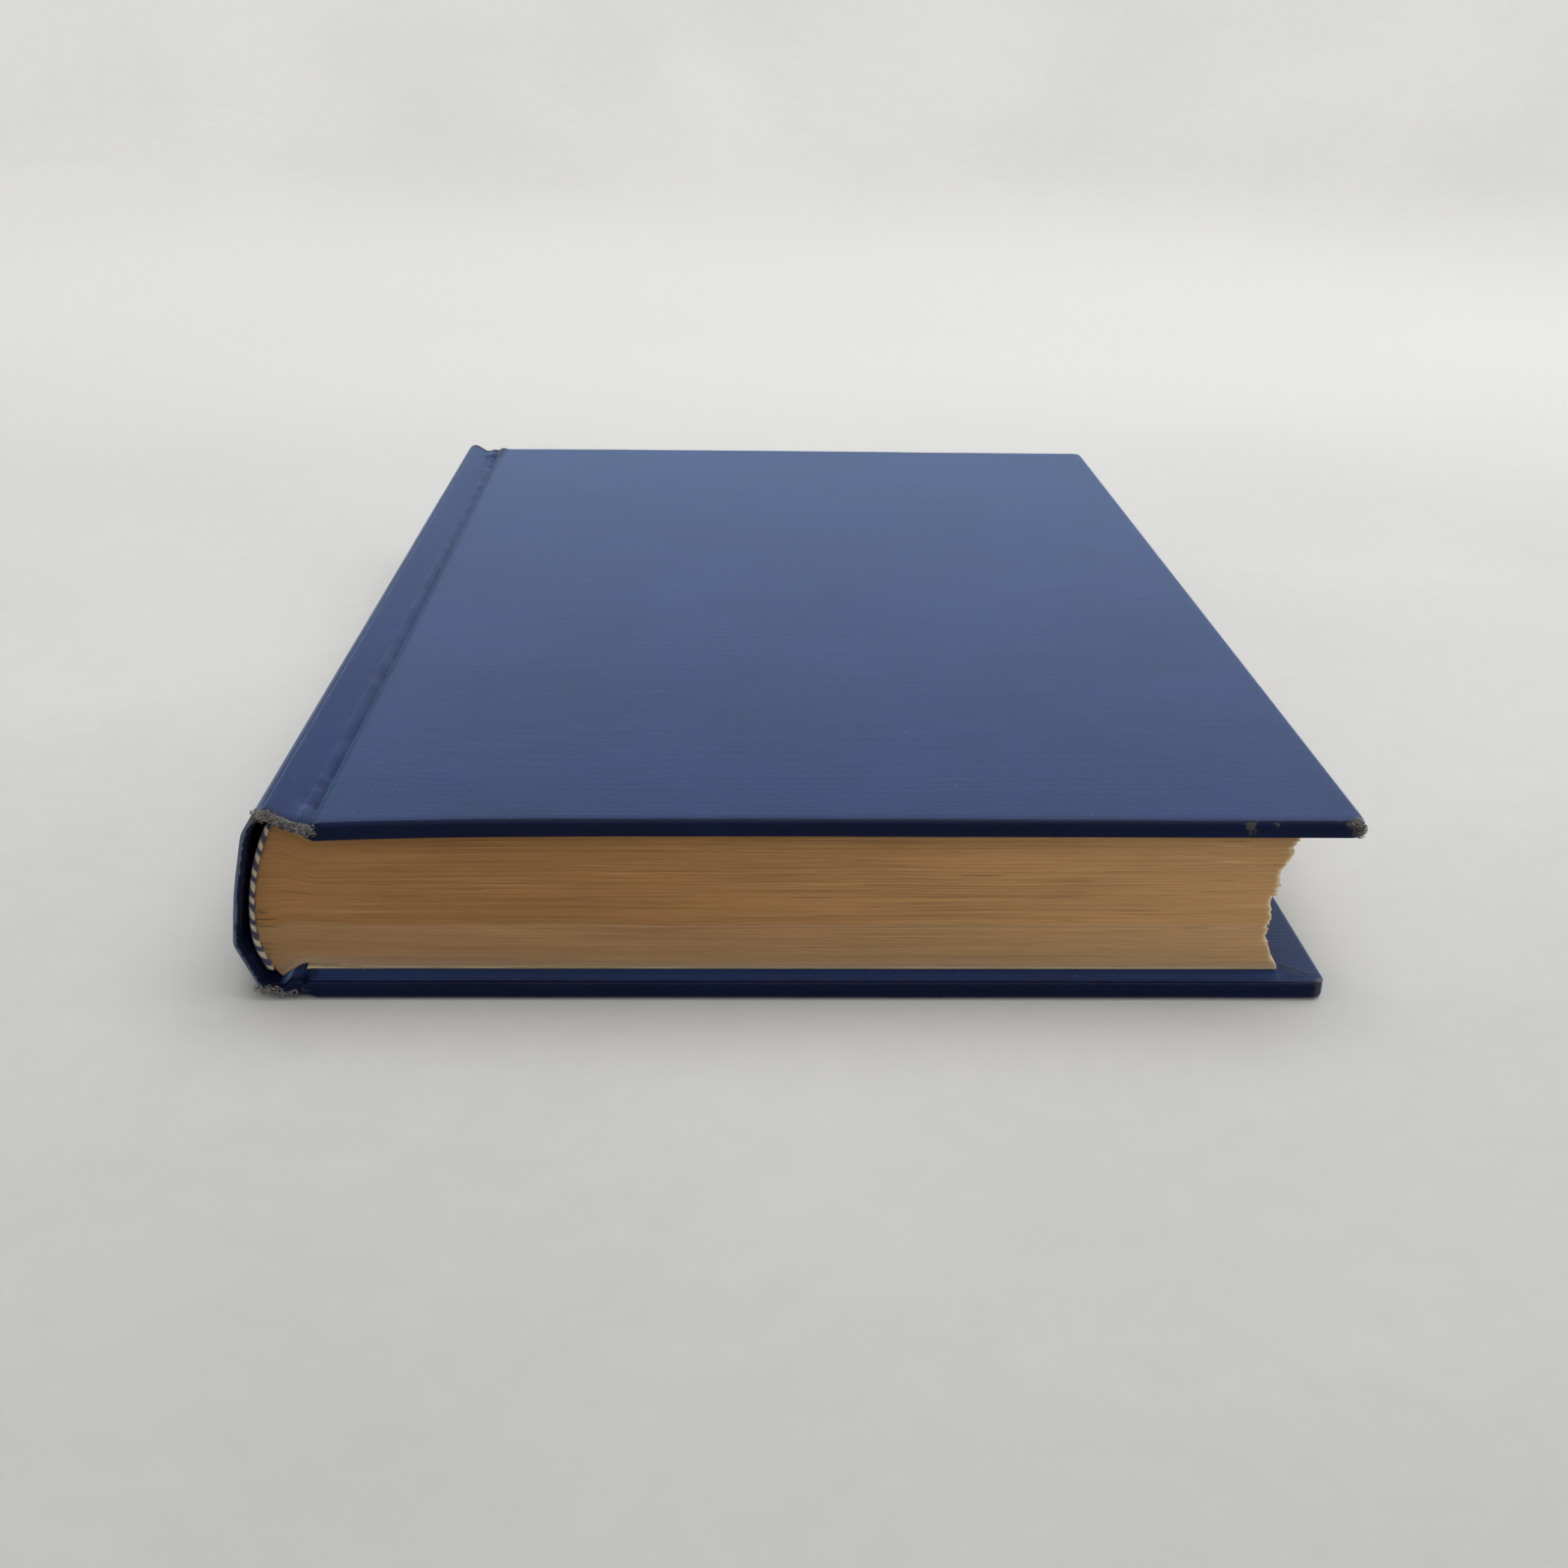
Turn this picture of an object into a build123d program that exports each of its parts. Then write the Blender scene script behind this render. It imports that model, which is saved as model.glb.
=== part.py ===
from build123d import *
from math import sqrt
import os

os.makedirs("parts", exist_ok=True)

# A cloth-bound hardcover book, lying on its back cover, slightly cocked, in millimetres.
# X runs from the spine to the fore edge, Y from the tail to the head, Z up through the book.
# The sizes below measure X from the ridge over the front joint.

# Boards and bookcloth
height = 216.0  # over the cloth, tail to head
back_spine_edge = 4.7  # covered spine edge of the back board
front_spine_edge = 7.0  # covered spine edge of the front board, which the cocked book carries further out
board_width = 139.0  # over the cloth, spine edge to fore edge
board = 1.95
cloth = 0.25
turn_in = 15.0
edge_round = 0.6
corner_round = 1.8
turn_round = 0.2
glue = 0.05
air = 0.1  # between a pastedown and its flyleaf

# Paper
leaf = 0.12
leaf_width = 137.6
square = 3.25  # how far the boards stand out past the leaves at tail and head
block_thickness = 20.8
sections = 15
deckle = 0.28  # how unevenly the folded sections end at the fore edge
fold_round = 0.2  # depth of the furrows between the folds at the back
pastedown_margin = 6.0  # turn-in left bare at the fore edge
sink_width = 1.0  # how far the pastedown lies over a turn-in before it sinks to the board

# Rounded and backed spine of the block
back_swell = -2.0  # X of the most swollen fold
swell_level = 9.6  # and its Z
back_tip = (1.0, 1.7)  # edge of the shoulder at the back cover: X, and depth from the cover's face
front_tip = (2.4, 0.58)  # the same at the front cover
joint_inset = 0.65  # foot of the shoulder, from the board's spine edge towards the spine
joint_pinch = 0.85  # how far the joint squeezes the block there
pinch_length = 8.0
joint_round = 1.2
pinch_round = 30.0
fold_inset = 1.6  # fold of the endpaper, from the shoulder's tip

# Joint between board and spine
back_groove = 1.7  # depth of the groove's cloth under the back cover's face
front_groove = 1.28
groove_width = 2.1
hinge_inset = 1.5  # hinge line, from the board's spine edge towards the spine
groove_round = 0.5

# Cloth spine: the corners of its outline between the two grooves, and the radius at each
front_ridge = (0.6, -1.22)  # X, and depth from the front cover's face
front_ridge_round = 1.6
shoulder_corner = (-1.8, 24.3)
shoulder_round = 5.0
middle_corner = (-3.62, 15.5)
middle_round = 60.0
swell_corner = (-4.4, 8.0)
swell_round = 3.0
heel_corner = (-1.4, 1.3)
heel_round = 2.5
back_ridge = (1.3, 0.1)
back_ridge_round = 1.4
ridge_round = 0.7  # where the ridge runs down into its groove
inlay = 0.4
inlay_reach = 1.2  # X at which the spine inlay ends under both ridges

# Linings of the block's back
mull = 0.15
mull_flap = 25.0  # on each board
mull_gap = 0.75  # between the mull's ends and the turned-in cloth or the endbands' strips
lining = 0.15
lining_margin = 1.5
lining_tips = 1.6  # how far the lining and the endbands stop short of the shoulders' tips
band_cloth = 0.15
band_length = 12.0
bead = 0.9
bead_seat = 0.05
bead_shift = 0.15  # centre of the bead outside the folds

cover_inner = 2 * cloth + board + 2 * glue  # depth of a turn-in's inner face
mull_level = cloth + board + 2 * glue
pastedown_level = cover_inner + glue
block_level = pastedown_level + leaf + air + leaf + glue
thickness = 2 * block_level + block_thickness
half = height / 2
half_block = half - square
half_mull = min(half - turn_in, half_block - band_length) - mull_gap


def back_x(z, depth=0.0):
    """X of the block's rounded back at height z, or of a line `depth` outside it."""
    tip_x, tip_z = (back_tip if z < swell_level else (front_tip[0], thickness - front_tip[1]))
    run = tip_x - back_swell
    rise = tip_z - swell_level
    radius = (run**2 + rise**2) / (2 * run)
    return back_swell + radius - sqrt((radius + depth) ** 2 - (z - swell_level) ** 2)


def back_arcs(depth, low, high):
    """Two arcs along the back, `depth` outside it, from height low to height high."""
    for start, end in ((low, swell_level), (swell_level, high)):
        middle = (start + end) / 2
        ThreePointArc(*((back_x(z, depth), z) for z in (start, middle, end)))


def back_band(near, far, low, high):
    """Section of a sheet that follows the back between two depths outside it."""
    with BuildSketch() as outline:
        with BuildLine():
            back_arcs(near, low, high)
            back_arcs(far, low, high)
            Line((back_x(low, near), low), (back_x(low, far), low))
            Line((back_x(high, near), high), (back_x(high, far), high))
        make_face()
    return outline.sketch


def sheet(points, radii, near, far):
    """Section of a sheet to the left of a line with rounded corners, between two depths from it."""
    with BuildSketch() as outline:
        for depth, mode in ((far, Mode.ADD), (near, Mode.SUBTRACT)):
            if depth:
                with BuildLine():
                    if radii:
                        FilletPolyline(*points, radius=radii)
                    else:
                        Polyline(*points)
                    offset(amount=depth, side=Side.LEFT)
                make_face(mode=mode)
    return outline.sketch


def spine_sheet(near, far):
    """Section of a sheet that follows the cloth spine between two depths under its outer face."""
    corners = [
        (front_hinge, thickness - front_groove),
        (front_spine_edge - groove_width, thickness - front_groove),
        (front_ridge[0], thickness - front_ridge[1]),
        shoulder_corner,
        middle_corner,
        swell_corner,
        heel_corner,
        back_ridge,
        (back_spine_edge - groove_width, back_groove),
        (back_hinge, back_groove),
    ]
    radii = [
        ridge_round,
        front_ridge_round,
        shoulder_round,
        middle_round,
        swell_round,
        heel_round,
        back_ridge_round,
        ridge_round,
    ]
    return sheet(corners, radii, near, far)


def cover_outline(middle, inset):
    """Outline of a covered board, or a line `inset` inside it, with rounded fore-edge corners."""
    with BuildSketch() as outline:
        with Locations((middle, 0)):
            Rectangle(board_width - 2 * inset, height - 2 * inset)
        fillet(outline.vertices().group_by(Axis.X)[-1], corner_round - inset)
    return outline.sketch


def label_and_write(piece, name):
    """Names a finished piece and writes its file."""
    piece.label = name
    export_step(piece, f"parts/{name}.step")


back_hinge = back_spine_edge - hinge_inset
front_hinge = front_spine_edge - hinge_inset
front_fore_edge = front_spine_edge + board_width

# The origin lies on the table under the middle of the book's overall box
with BuildLine() as spine_outline:
    FilletPolyline(middle_corner, swell_corner, heel_corner, radius=[swell_round])
middle_x = (spine_outline.line.bounding_box().min.X + front_fore_edge) / 2
section = Plane((-middle_x, 0, 0), x_dir=(1, 0, 0), z_dir=(0, -1, 0))
front_section = Plane((-middle_x, 0, thickness), x_dir=(1, 0, 0), z_dir=(0, 1, 0))
back_plan = Plane((-middle_x, 0, 0), x_dir=(1, 0, 0), z_dir=(0, 0, 1))
front_plan = Plane((-middle_x, 0, thickness), x_dir=(1, 0, 0), z_dir=(0, 0, -1))

# Both cover sides are drawn alike, each from its own outer face inwards
covers = (
    ("back", back_plan, section, back_spine_edge, back_hinge, back_groove, back_tip),
    ("front", front_plan, front_section, front_spine_edge, front_hinge, front_groove, front_tip),
)

for side, plan, profile, spine_edge, hinge, groove, tip in covers:
    fore_edge = spine_edge + board_width
    middle = (spine_edge + fore_edge) / 2
    wrap = cloth + glue
    outermost, innermost = (0, -1) if side == "back" else (-1, 0)

    with BuildPart() as board_piece:
        with BuildSketch(plan.offset(wrap)):
            add(cover_outline(middle, wrap))
        extrude(amount=board)
        fillet(board_piece.faces().sort_by(Axis.Z)[outermost].edges(), edge_round - cloth)
    label_and_write(board_piece.part, f"{side}_board")

    # The cloth goes round the board's four edges and is turned in on three of them
    with BuildPart() as cloth_piece:
        with BuildSketch(plan):
            add(cover_outline(middle, 0))
        extrude(amount=cover_inner)
        fillet(cloth_piece.faces().sort_by(Axis.Z)[outermost].edges(), edge_round)
        fillet(cloth_piece.faces().sort_by(Axis.Z)[innermost].edges(), turn_round)
        with BuildSketch(plan.offset(cloth)):
            add(cover_outline(middle, cloth))
        extrude(amount=board + 2 * glue, mode=Mode.SUBTRACT)
        with BuildSketch(plan.offset(cover_inner)):
            with Locations((middle - turn_in, 0)):
                Rectangle(board_width, height - 2 * turn_in)
        extrude(amount=-2 * cloth, mode=Mode.SUBTRACT)
        with BuildSketch(plan.offset(groove + cloth)):
            with Locations((spine_edge, 0)):
                Rectangle(2 * cloth, height)
        extrude(amount=cover_inner, mode=Mode.SUBTRACT)
        line = [(hinge, groove), (spine_edge, groove), (spine_edge, groove / 2)]
        with BuildSketch(profile):
            add(sheet(line, [groove_round], 0, cloth))
        extrude(amount=half, both=True)
    label_and_write(cloth_piece.part, f"{side}_cloth")

    # Gauze flap, glued to the board from the hinge line inwards
    flap_end = spine_edge + mull_flap
    with BuildPart() as flap_piece:
        with BuildSketch(plan.offset(mull_level)):
            with Locations(((hinge + flap_end) / 2, 0)):
                Rectangle(flap_end - hinge, 2 * half_mull)
        extrude(amount=mull)
    label_and_write(flap_piece.part, f"{side}_mull_flap")

    # Pastedown, flat over the turn-ins and the flap, and sunk to the board between them
    sheet_end = fore_edge - pastedown_margin
    sink_end = fore_edge - turn_in - sink_width
    sink_start = flap_end + sink_width
    sink = (sink_end - sink_start, height - 2 * turn_in - 2 * sink_width)
    with BuildPart() as pastedown_piece:
        with BuildSketch(plan.offset(pastedown_level)):
            with Locations(((hinge + sheet_end) / 2, 0)):
                Rectangle(sheet_end - hinge, 2 * half_block)
        extrude(amount=leaf)
        with BuildSketch(plan.offset(pastedown_level)):
            with Locations(((sink_start + sink_end) / 2, 0)):
                Rectangle(*sink)
        extrude(amount=-cloth)
        with BuildSketch(plan.offset(pastedown_level + leaf)):
            with Locations(((sink_start + sink_end) / 2, 0)):
                Rectangle(sink[0] - 2 * leaf, sink[1] - 2 * leaf)
        extrude(amount=-cloth, mode=Mode.SUBTRACT)
    label_and_write(pastedown_piece.part, f"{side}_pastedown")

    # Flyleaf, lying along the block from its fold on the shoulder to the fore edge
    foot = (spine_edge - joint_inset, block_level + joint_pinch)
    slope = (foot[0] - tip[0], foot[1] - tip[1])
    reach = fold_inset / sqrt(slope[0] ** 2 + slope[1] ** 2)
    fold = (tip[0] + reach * slope[0], tip[1] + reach * slope[1] - glue)
    last_z = block_level if side == "back" else thickness - block_level
    leaf_line = [
        (back_x(last_z) + leaf_width, block_level - glue),
        (foot[0] + pinch_length, block_level - glue),
        (foot[0], foot[1] - glue),
        fold,
    ]
    hinge_line = [(hinge - leaf, pastedown_level + leaf), (fold[0] + leaf, fold[1])]
    with BuildPart() as flyleaf_piece:
        with BuildSketch(profile):
            add(sheet(leaf_line, [pinch_round, joint_round], 0, leaf))
            add(sheet(hinge_line, None, 0, leaf))
        extrude(amount=half_block, both=True)
    label_and_write(flyleaf_piece.part, f"{side}_flyleaf")

# Text block: one outline through all the sections, with their folds at the back, the flared
# shoulders, and the fore edge that follows the back because all the leaves are equally wide
low_tip = back_tip
high_tip = (front_tip[0], thickness - front_tip[1])
section_thickness = block_thickness / sections
with BuildPart() as text_block:
    with BuildSketch(section):
        with BuildLine():
            fold_pitch = (high_tip[1] - low_tip[1]) / sections
            folds = [low_tip]
            for count in range(1, sections):
                level = low_tip[1] + count * fold_pitch
                folds.append((back_x(level) + fold_round, level))
            folds.append(high_tip)
            for low, high in zip(folds, folds[1:]):
                level = (low[1] + high[1]) / 2
                ThreePointArc(low, (back_x(level) + glue, level), high)
            corners = []
            for count in range(sections):
                shift = deckle * (((count * 7) % 5) / 4 - 0.5)
                for edge in (count, count + 1):
                    level = block_level + edge * section_thickness
                    corners.append((back_x(level) + leaf_width + shift, level))
            Polyline(*corners)
            for tip, level, towards, spine_edge, last in (
                (low_tip, block_level, 1, back_spine_edge, corners[0]),
                (high_tip, thickness - block_level, -1, front_spine_edge, corners[-1]),
            ):
                foot = (spine_edge - joint_inset, level + towards * joint_pinch)
                FilletPolyline(tip, foot, (foot[0] + pinch_length, level), last, radius=[joint_round, pinch_round])
        make_face()
    extrude(amount=half_block, both=True)
label_and_write(text_block.part, "text_block")

# Gauze over the back, from hinge line to hinge line
with BuildPart() as spine_mull:
    with BuildSketch(section):
        with BuildLine():
            low, high = (low_tip[1] - glue, high_tip[1] + glue)
            Line((back_hinge, mull_level), (back_x(low, glue), low))
            back_arcs(glue, low, high)
            Line((back_x(high, glue), high), (front_hinge, thickness - mull_level))
            offset(amount=mull, side=Side.LEFT)
        make_face()
    extrude(amount=half_mull, both=True)
label_and_write(spine_mull.part, "spine_mull")

# Paper lining over the gauze and the endbands' strips
band_low = low_tip[1] + lining_tips
band_high = high_tip[1] - lining_tips
outer_layer = mull + 2 * glue
with BuildPart() as spine_lining:
    with BuildSketch(section):
        add(back_band(outer_layer, outer_layer + lining, band_low, band_high))
    extrude(amount=half_block - lining_margin, both=True)
label_and_write(spine_lining.part, "spine_lining")

# Endbands: a strip glued to the back, with a bead that lies over the end of the block
for name, end in (("tailband", -1), ("headband", 1)):
    bead_y = half_block + bead_seat + bead / 2
    strip_plane = section.offset(-end * (bead_y + half_block - band_length) / 2)
    with BuildPart() as endband:
        with BuildSketch(strip_plane):
            add(back_band(glue, glue + band_cloth, band_low, band_high))
        extrude(amount=(bead_y - half_block + band_length) / 2, both=True)
        with BuildLine(section.offset(-end * bead_y)) as bead_line:
            back_arcs(bead_shift, band_low, band_high)
        with BuildSketch(Plane(bead_line.wires()[0] @ 0, z_dir=bead_line.wires()[0] % 0)):
            Circle(bead / 2)
        sweep(path=bead_line.wires()[0])
    label_and_write(endband.part, name)

# Spine: cloth over a card inlay, hollow behind it, with the cloth turned in at head and tail
inlay_near = cloth + glue
inlay_far = inlay_near + inlay
with BuildPart() as spine_inlay:
    with BuildSketch(section):
        add(spine_sheet(inlay_near, inlay_far))
    extrude(amount=half - cloth - glue, both=True)
    split(bisect_by=Plane.YZ.offset(inlay_reach - middle_x), keep=Keep.BOTTOM)
label_and_write(spine_inlay.part, "spine_inlay")

turned_far = inlay_far + glue + cloth
with BuildPart() as inlay_pocket:
    with BuildSketch(section):
        add(spine_sheet(cloth, inlay_far + glue))
    extrude(amount=half - cloth, both=True)

with BuildPart() as spine_turned:
    with BuildSketch(section):
        add(spine_sheet(cloth, turned_far))
    extrude(amount=half, both=True)
    split(bisect_by=Plane.YZ.offset(inlay_reach + glue - middle_x), keep=Keep.BOTTOM)
    with BuildSketch(Plane.XY):
        Rectangle(4 * leaf_width, height - 2 * turn_in)
    extrude(amount=2 * thickness, both=True, mode=Mode.SUBTRACT)
    add(inlay_pocket.part, mode=Mode.SUBTRACT)

with BuildPart() as spine_cloth:
    with BuildSketch(section):
        add(spine_sheet(0, cloth))
    extrude(amount=half, both=True)
    add(spine_turned.part)
label_and_write(spine_cloth.part, "spine_cloth")
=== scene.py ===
import logging
import math
from dataclasses import dataclass, field
from enum import Enum
from typing import Callable, Iterable, Optional, Sequence, Union

import bmesh
import bpy
import numpy as np
from mathutils import Matrix, Vector


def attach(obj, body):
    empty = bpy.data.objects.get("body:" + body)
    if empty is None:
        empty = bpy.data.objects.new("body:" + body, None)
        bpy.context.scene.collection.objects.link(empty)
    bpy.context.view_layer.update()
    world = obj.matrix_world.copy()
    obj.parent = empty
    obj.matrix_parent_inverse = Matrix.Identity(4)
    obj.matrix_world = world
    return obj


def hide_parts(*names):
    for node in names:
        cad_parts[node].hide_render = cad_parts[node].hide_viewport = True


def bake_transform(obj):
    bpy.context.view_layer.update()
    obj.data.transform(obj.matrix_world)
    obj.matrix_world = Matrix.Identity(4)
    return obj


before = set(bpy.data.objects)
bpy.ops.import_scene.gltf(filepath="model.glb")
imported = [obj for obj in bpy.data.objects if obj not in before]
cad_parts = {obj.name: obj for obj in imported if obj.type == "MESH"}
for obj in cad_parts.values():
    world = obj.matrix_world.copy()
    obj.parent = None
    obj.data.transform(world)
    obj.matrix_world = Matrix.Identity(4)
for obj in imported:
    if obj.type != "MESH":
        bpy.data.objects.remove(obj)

logging.basicConfig(level=logging.INFO, format="%(message)s")
log = logging.getLogger("book")

MM = 0.001
Array = np.ndarray
Colour = tuple[float, float, float]
Term = Union["Value", float]
Tint = Union["Value", Colour]


class Body(str, Enum):
    """The moving bodies of the book."""

    BLOCK = "block"
    FRONT = "front_cover"
    BACK = "back_cover"


class Side(Enum):
    """The two covers: the front one lies on top."""

    FRONT = "front"
    BACK = "back"


class End(Enum):
    """The two ends of the spine, as the sign of their Y."""

    TAIL = -1
    HEAD = 1


# Sizes


@dataclass(frozen=True)
class BookSizes:
    """The book's sizes in millimetres; X runs from the ridge over the front joint to the fore edge."""

    height: float = 216.0
    thickness: float = 26.78
    board_width: float = 139.0
    front_edge: float = 7.0
    back_edge: float = 4.7
    middle_x: float = 70.83361381706604
    cover_depth: float = 2.55
    edge_round: float = 0.6
    corner_round: float = 1.8
    leaf_width: float = 137.6
    block_height: float = 209.5
    block_level: float = 2.99
    leaf: float = 0.12
    sections: int = 15
    back_swell: float = -2.0
    swell_level: float = 9.6
    back_tip: tuple[float, float] = (1.0, 1.7)
    front_tip: tuple[float, float] = (2.4, 26.2)

    def spine_edge(self, side: Side) -> float:
        """X of a board's spine edge."""
        return self.front_edge if side is Side.FRONT else self.back_edge

    def from_end(self, y: Array) -> Array:
        """Distance of Y from the nearer end of the covers."""
        return self.height / 2 - np.abs(y)

    def back_x(self, z: Array, depth: float = 0.0) -> Array:
        """X of the block's rounded back.

        Two circles meet at the most swollen fold, each running out to the tip of a shoulder:
        x = swell + r - sqrt((r + depth)^2 - (z - level)^2).

        Args:
            z: heights in millimetres.
            depth: distance outside the folds.

        Returns:
            X for each height.
        """
        z = np.asarray(z, float)
        tip_x = np.where(z < self.swell_level, self.back_tip[0], self.front_tip[0])
        tip_z = np.where(z < self.swell_level, self.back_tip[1], self.front_tip[1])
        run, rise = tip_x - self.back_swell, tip_z - self.swell_level
        radius = (run**2 + rise**2) / (2 * run)
        return self.back_swell + radius - np.sqrt((radius + depth) ** 2 - (z - self.swell_level) ** 2)

    def place(self, points: Array) -> Array:
        """Drawing millimetres to metres in the frame, whose X origin is the middle of the book."""
        return (np.asarray(points, float) - (self.middle_x, 0.0, 0.0)) * MM


SIZES = BookSizes()


# Mesh kit


def smooth_step(t: Array) -> Array:
    """3t^2 - 2t^3 of t held between 0 and 1."""
    t = np.clip(t, 0.0, 1.0)
    return t * t * (3.0 - 2.0 * t)


def bell(distance: Array, width: float, power: int = 2) -> Array:
    """e^-(distance/width)^power: 1 in the middle and next to nothing two widths away."""
    return np.exp(-((distance / width) ** power))


def grid(*parts: Array) -> Array:
    """Coordinates spread over one grid and joined into its points."""
    return np.stack(np.broadcast_arrays(*parts), -1)


def lattice_noise(seed: int, x: Array, y: Array, cell: tuple[float, float] = (1.0, 1.0)) -> Array:
    """Smooth noise in -1..1: random values on a lattice, blended by 3t^2 - 2t^3 between its points.

    Args:
        seed: which random lattice.
        x: first coordinate.
        y: second coordinate.
        cell: size of the lattice's cell along each coordinate.

    Returns:
        One value for each point.
    """
    size = 256
    table = np.random.default_rng(seed).uniform(-1.0, 1.0, (size, size))
    u, v = np.broadcast_arrays(np.asarray(x, float) / cell[0] + 37.3, np.asarray(y, float) / cell[1] + 91.7)
    iu, iv = np.floor(u).astype(int), np.floor(v).astype(int)
    fu, fv = smooth_step(u - iu), smooth_step(v - iv)
    a, b, c, d = (table[(iu + i) % size, (iv + j) % size] for j in (0, 1) for i in (0, 1))
    return (a * (1 - fu) + b * fu) * (1 - fv) + (c * (1 - fu) + d * fu) * fv


def line_noise(seed: int, x: Array, cell: float) -> Array:
    """Smooth noise in -1..1 along one coordinate."""
    return lattice_noise(seed, x, 0 * x, (cell, 1.0))


def rounded_line(points: Sequence[tuple[float, float]], radii: Sequence[float], step: float = 1.0) -> Array:
    """A polyline in a plane whose inner corners are circular arcs.

    At a corner with turning angle a, the arc of radius r starts r*tan(a/2) before the corner, and
    its points are centre + r*(cos t, sin t).

    Args:
        points: the corners, with both ends.
        radii: one radius for each inner corner.
        step: longest distance between points on the straight runs.

    Returns:
        Points of shape (n, 2).
    """
    corners = np.asarray(points, float)
    runs = [corners[:1]]
    for before, corner, after, radius in zip(corners, corners[1:], corners[2:], radii):
        a, b = before - corner, after - corner
        a, b = a / np.linalg.norm(a), b / np.linalg.norm(b)
        half = math.acos(float(np.clip(a @ b, -1, 1))) / 2
        reach = radius / math.tan(half)
        centre = corner + (a + b) / np.linalg.norm(a + b) * radius / math.sin(half)
        start, stop = corner + a * reach - centre, corner + b * reach - centre
        turn = math.atan2(start[0] * stop[1] - start[1] * stop[0], start @ stop)
        t = np.linspace(0, turn, max(3, int(abs(turn) / math.radians(8)) + 2))[:, None]
        runs.append(centre + start * np.cos(t) + np.array([-start[1], start[0]]) * np.sin(t))
    runs.append(corners[-1:])
    line = [runs[0]]
    for run in runs[1:]:
        gap = run[0] - line[-1][-1]
        pieces = max(1, int(math.ceil(float(np.linalg.norm(gap)) / step)))
        t = np.linspace(0, 1, pieces + 1)[1:-1, None]
        line += [line[-1][-1] + gap * t, run]
    return np.concatenate(line)


def outward(line: Array) -> Array:
    """Unit vectors to the right of a plane line's direction, one for each point."""
    along = np.gradient(line, axis=0)
    along /= np.linalg.norm(along, axis=1)[:, None]
    return np.stack([along[:, 1], -along[:, 0]], axis=1)


def run_along(line: Array) -> Array:
    """Distance along a line of points, from its first one."""
    return np.concatenate([[0.0], np.cumsum(np.linalg.norm(np.diff(line, axis=0), axis=1))])


@dataclass
class Patch:
    """A grid of points, with the values that its finish reads."""

    points: Array
    uv: Optional[Array] = None
    layers: dict[str, Array] = field(default_factory=dict)
    flip: bool = False
    ring: bool = False

    def faces(self) -> Array:
        """Corner numbers of the quads: (i, j), (i+1, j), (i+1, j+1), (i, j+1)."""
        n, m = self.points.shape[:2]
        index = np.arange(n * m).reshape(n, m)
        if self.ring:
            index = np.concatenate([index, index[:, :1]], axis=1)
        corners = [index[:-1, :-1], index[1:, :-1], index[1:, 1:], index[:-1, 1:]]
        quads = np.stack(corners, axis=-1).reshape(-1, 4)
        return quads[:, ::-1] if self.flip else quads

    def flat(self, key: str) -> Array:
        """One layer, or the UV map by the name uv, as one row for each point; 0 where it isn't set."""
        shape = self.points.shape[:2]
        if key == "uv":
            return (np.zeros((*shape, 2)) if self.uv is None else self.uv).reshape(-1, 2)
        return np.broadcast_to(self.layers.get(key, 0.0), shape).astype(np.float32).ravel()


def make_piece(name: str, patches: Sequence[Patch], weld: float = 0.0,
               shade_smooth: bool = True) -> bpy.types.Object:
    """Puts patches into one mesh object at the origin.

    Args:
        name: the piece's name.
        patches: its grids, in drawing millimetres.
        weld: points nearer than this, in millimetres, become one; 0 leaves them.
        shade_smooth: whether faces are shaded smooth.

    Returns:
        The linked object.
    """
    points = SIZES.place(np.concatenate([p.points.reshape(-1, 3) for p in patches]))
    starts = np.cumsum([0] + [p.points.shape[0] * p.points.shape[1] for p in patches[:-1]])
    quads = np.concatenate([p.faces() + start for p, start in zip(patches, starts)])
    mesh = bpy.data.meshes.new(name)
    mesh.vertices.add(len(points))
    mesh.vertices.foreach_set("co", points.astype(np.float32).ravel())
    mesh.loops.add(quads.size)
    mesh.loops.foreach_set("vertex_index", quads.astype(np.int32).ravel())
    mesh.polygons.add(len(quads))
    mesh.polygons.foreach_set("loop_start", np.arange(0, quads.size, 4, dtype=np.int32))
    mesh.polygons.foreach_set("loop_total", np.full(len(quads), 4, np.int32))
    mesh.update(calc_edges=True)
    uv = np.concatenate([p.flat("uv") for p in patches])
    mesh.uv_layers.new(name="cut").data.foreach_set("uv", uv[quads.ravel()].astype(np.float32).ravel())
    for key in sorted({k for p in patches for k in p.layers}):
        value = np.concatenate([p.flat(key) for p in patches])
        mesh.attributes.new(key, "FLOAT", "POINT").data.foreach_set("value", value)
    mesh.validate()
    piece = bpy.data.objects.new(name, mesh)
    bpy.context.scene.collection.objects.link(piece)
    if weld:
        work = bmesh.new()
        work.from_mesh(mesh)
        bmesh.ops.remove_doubles(work, verts=work.verts, dist=weld * MM)
        bmesh.ops.dissolve_degenerate(work, edges=work.edges, dist=1e-8)
        bmesh.ops.recalc_face_normals(work, faces=work.faces)
        work.to_mesh(mesh)
        work.free()
    mesh.polygons.foreach_set("use_smooth", np.full(len(mesh.polygons), shade_smooth))
    mesh.update()
    return piece


# Shader kit


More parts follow.
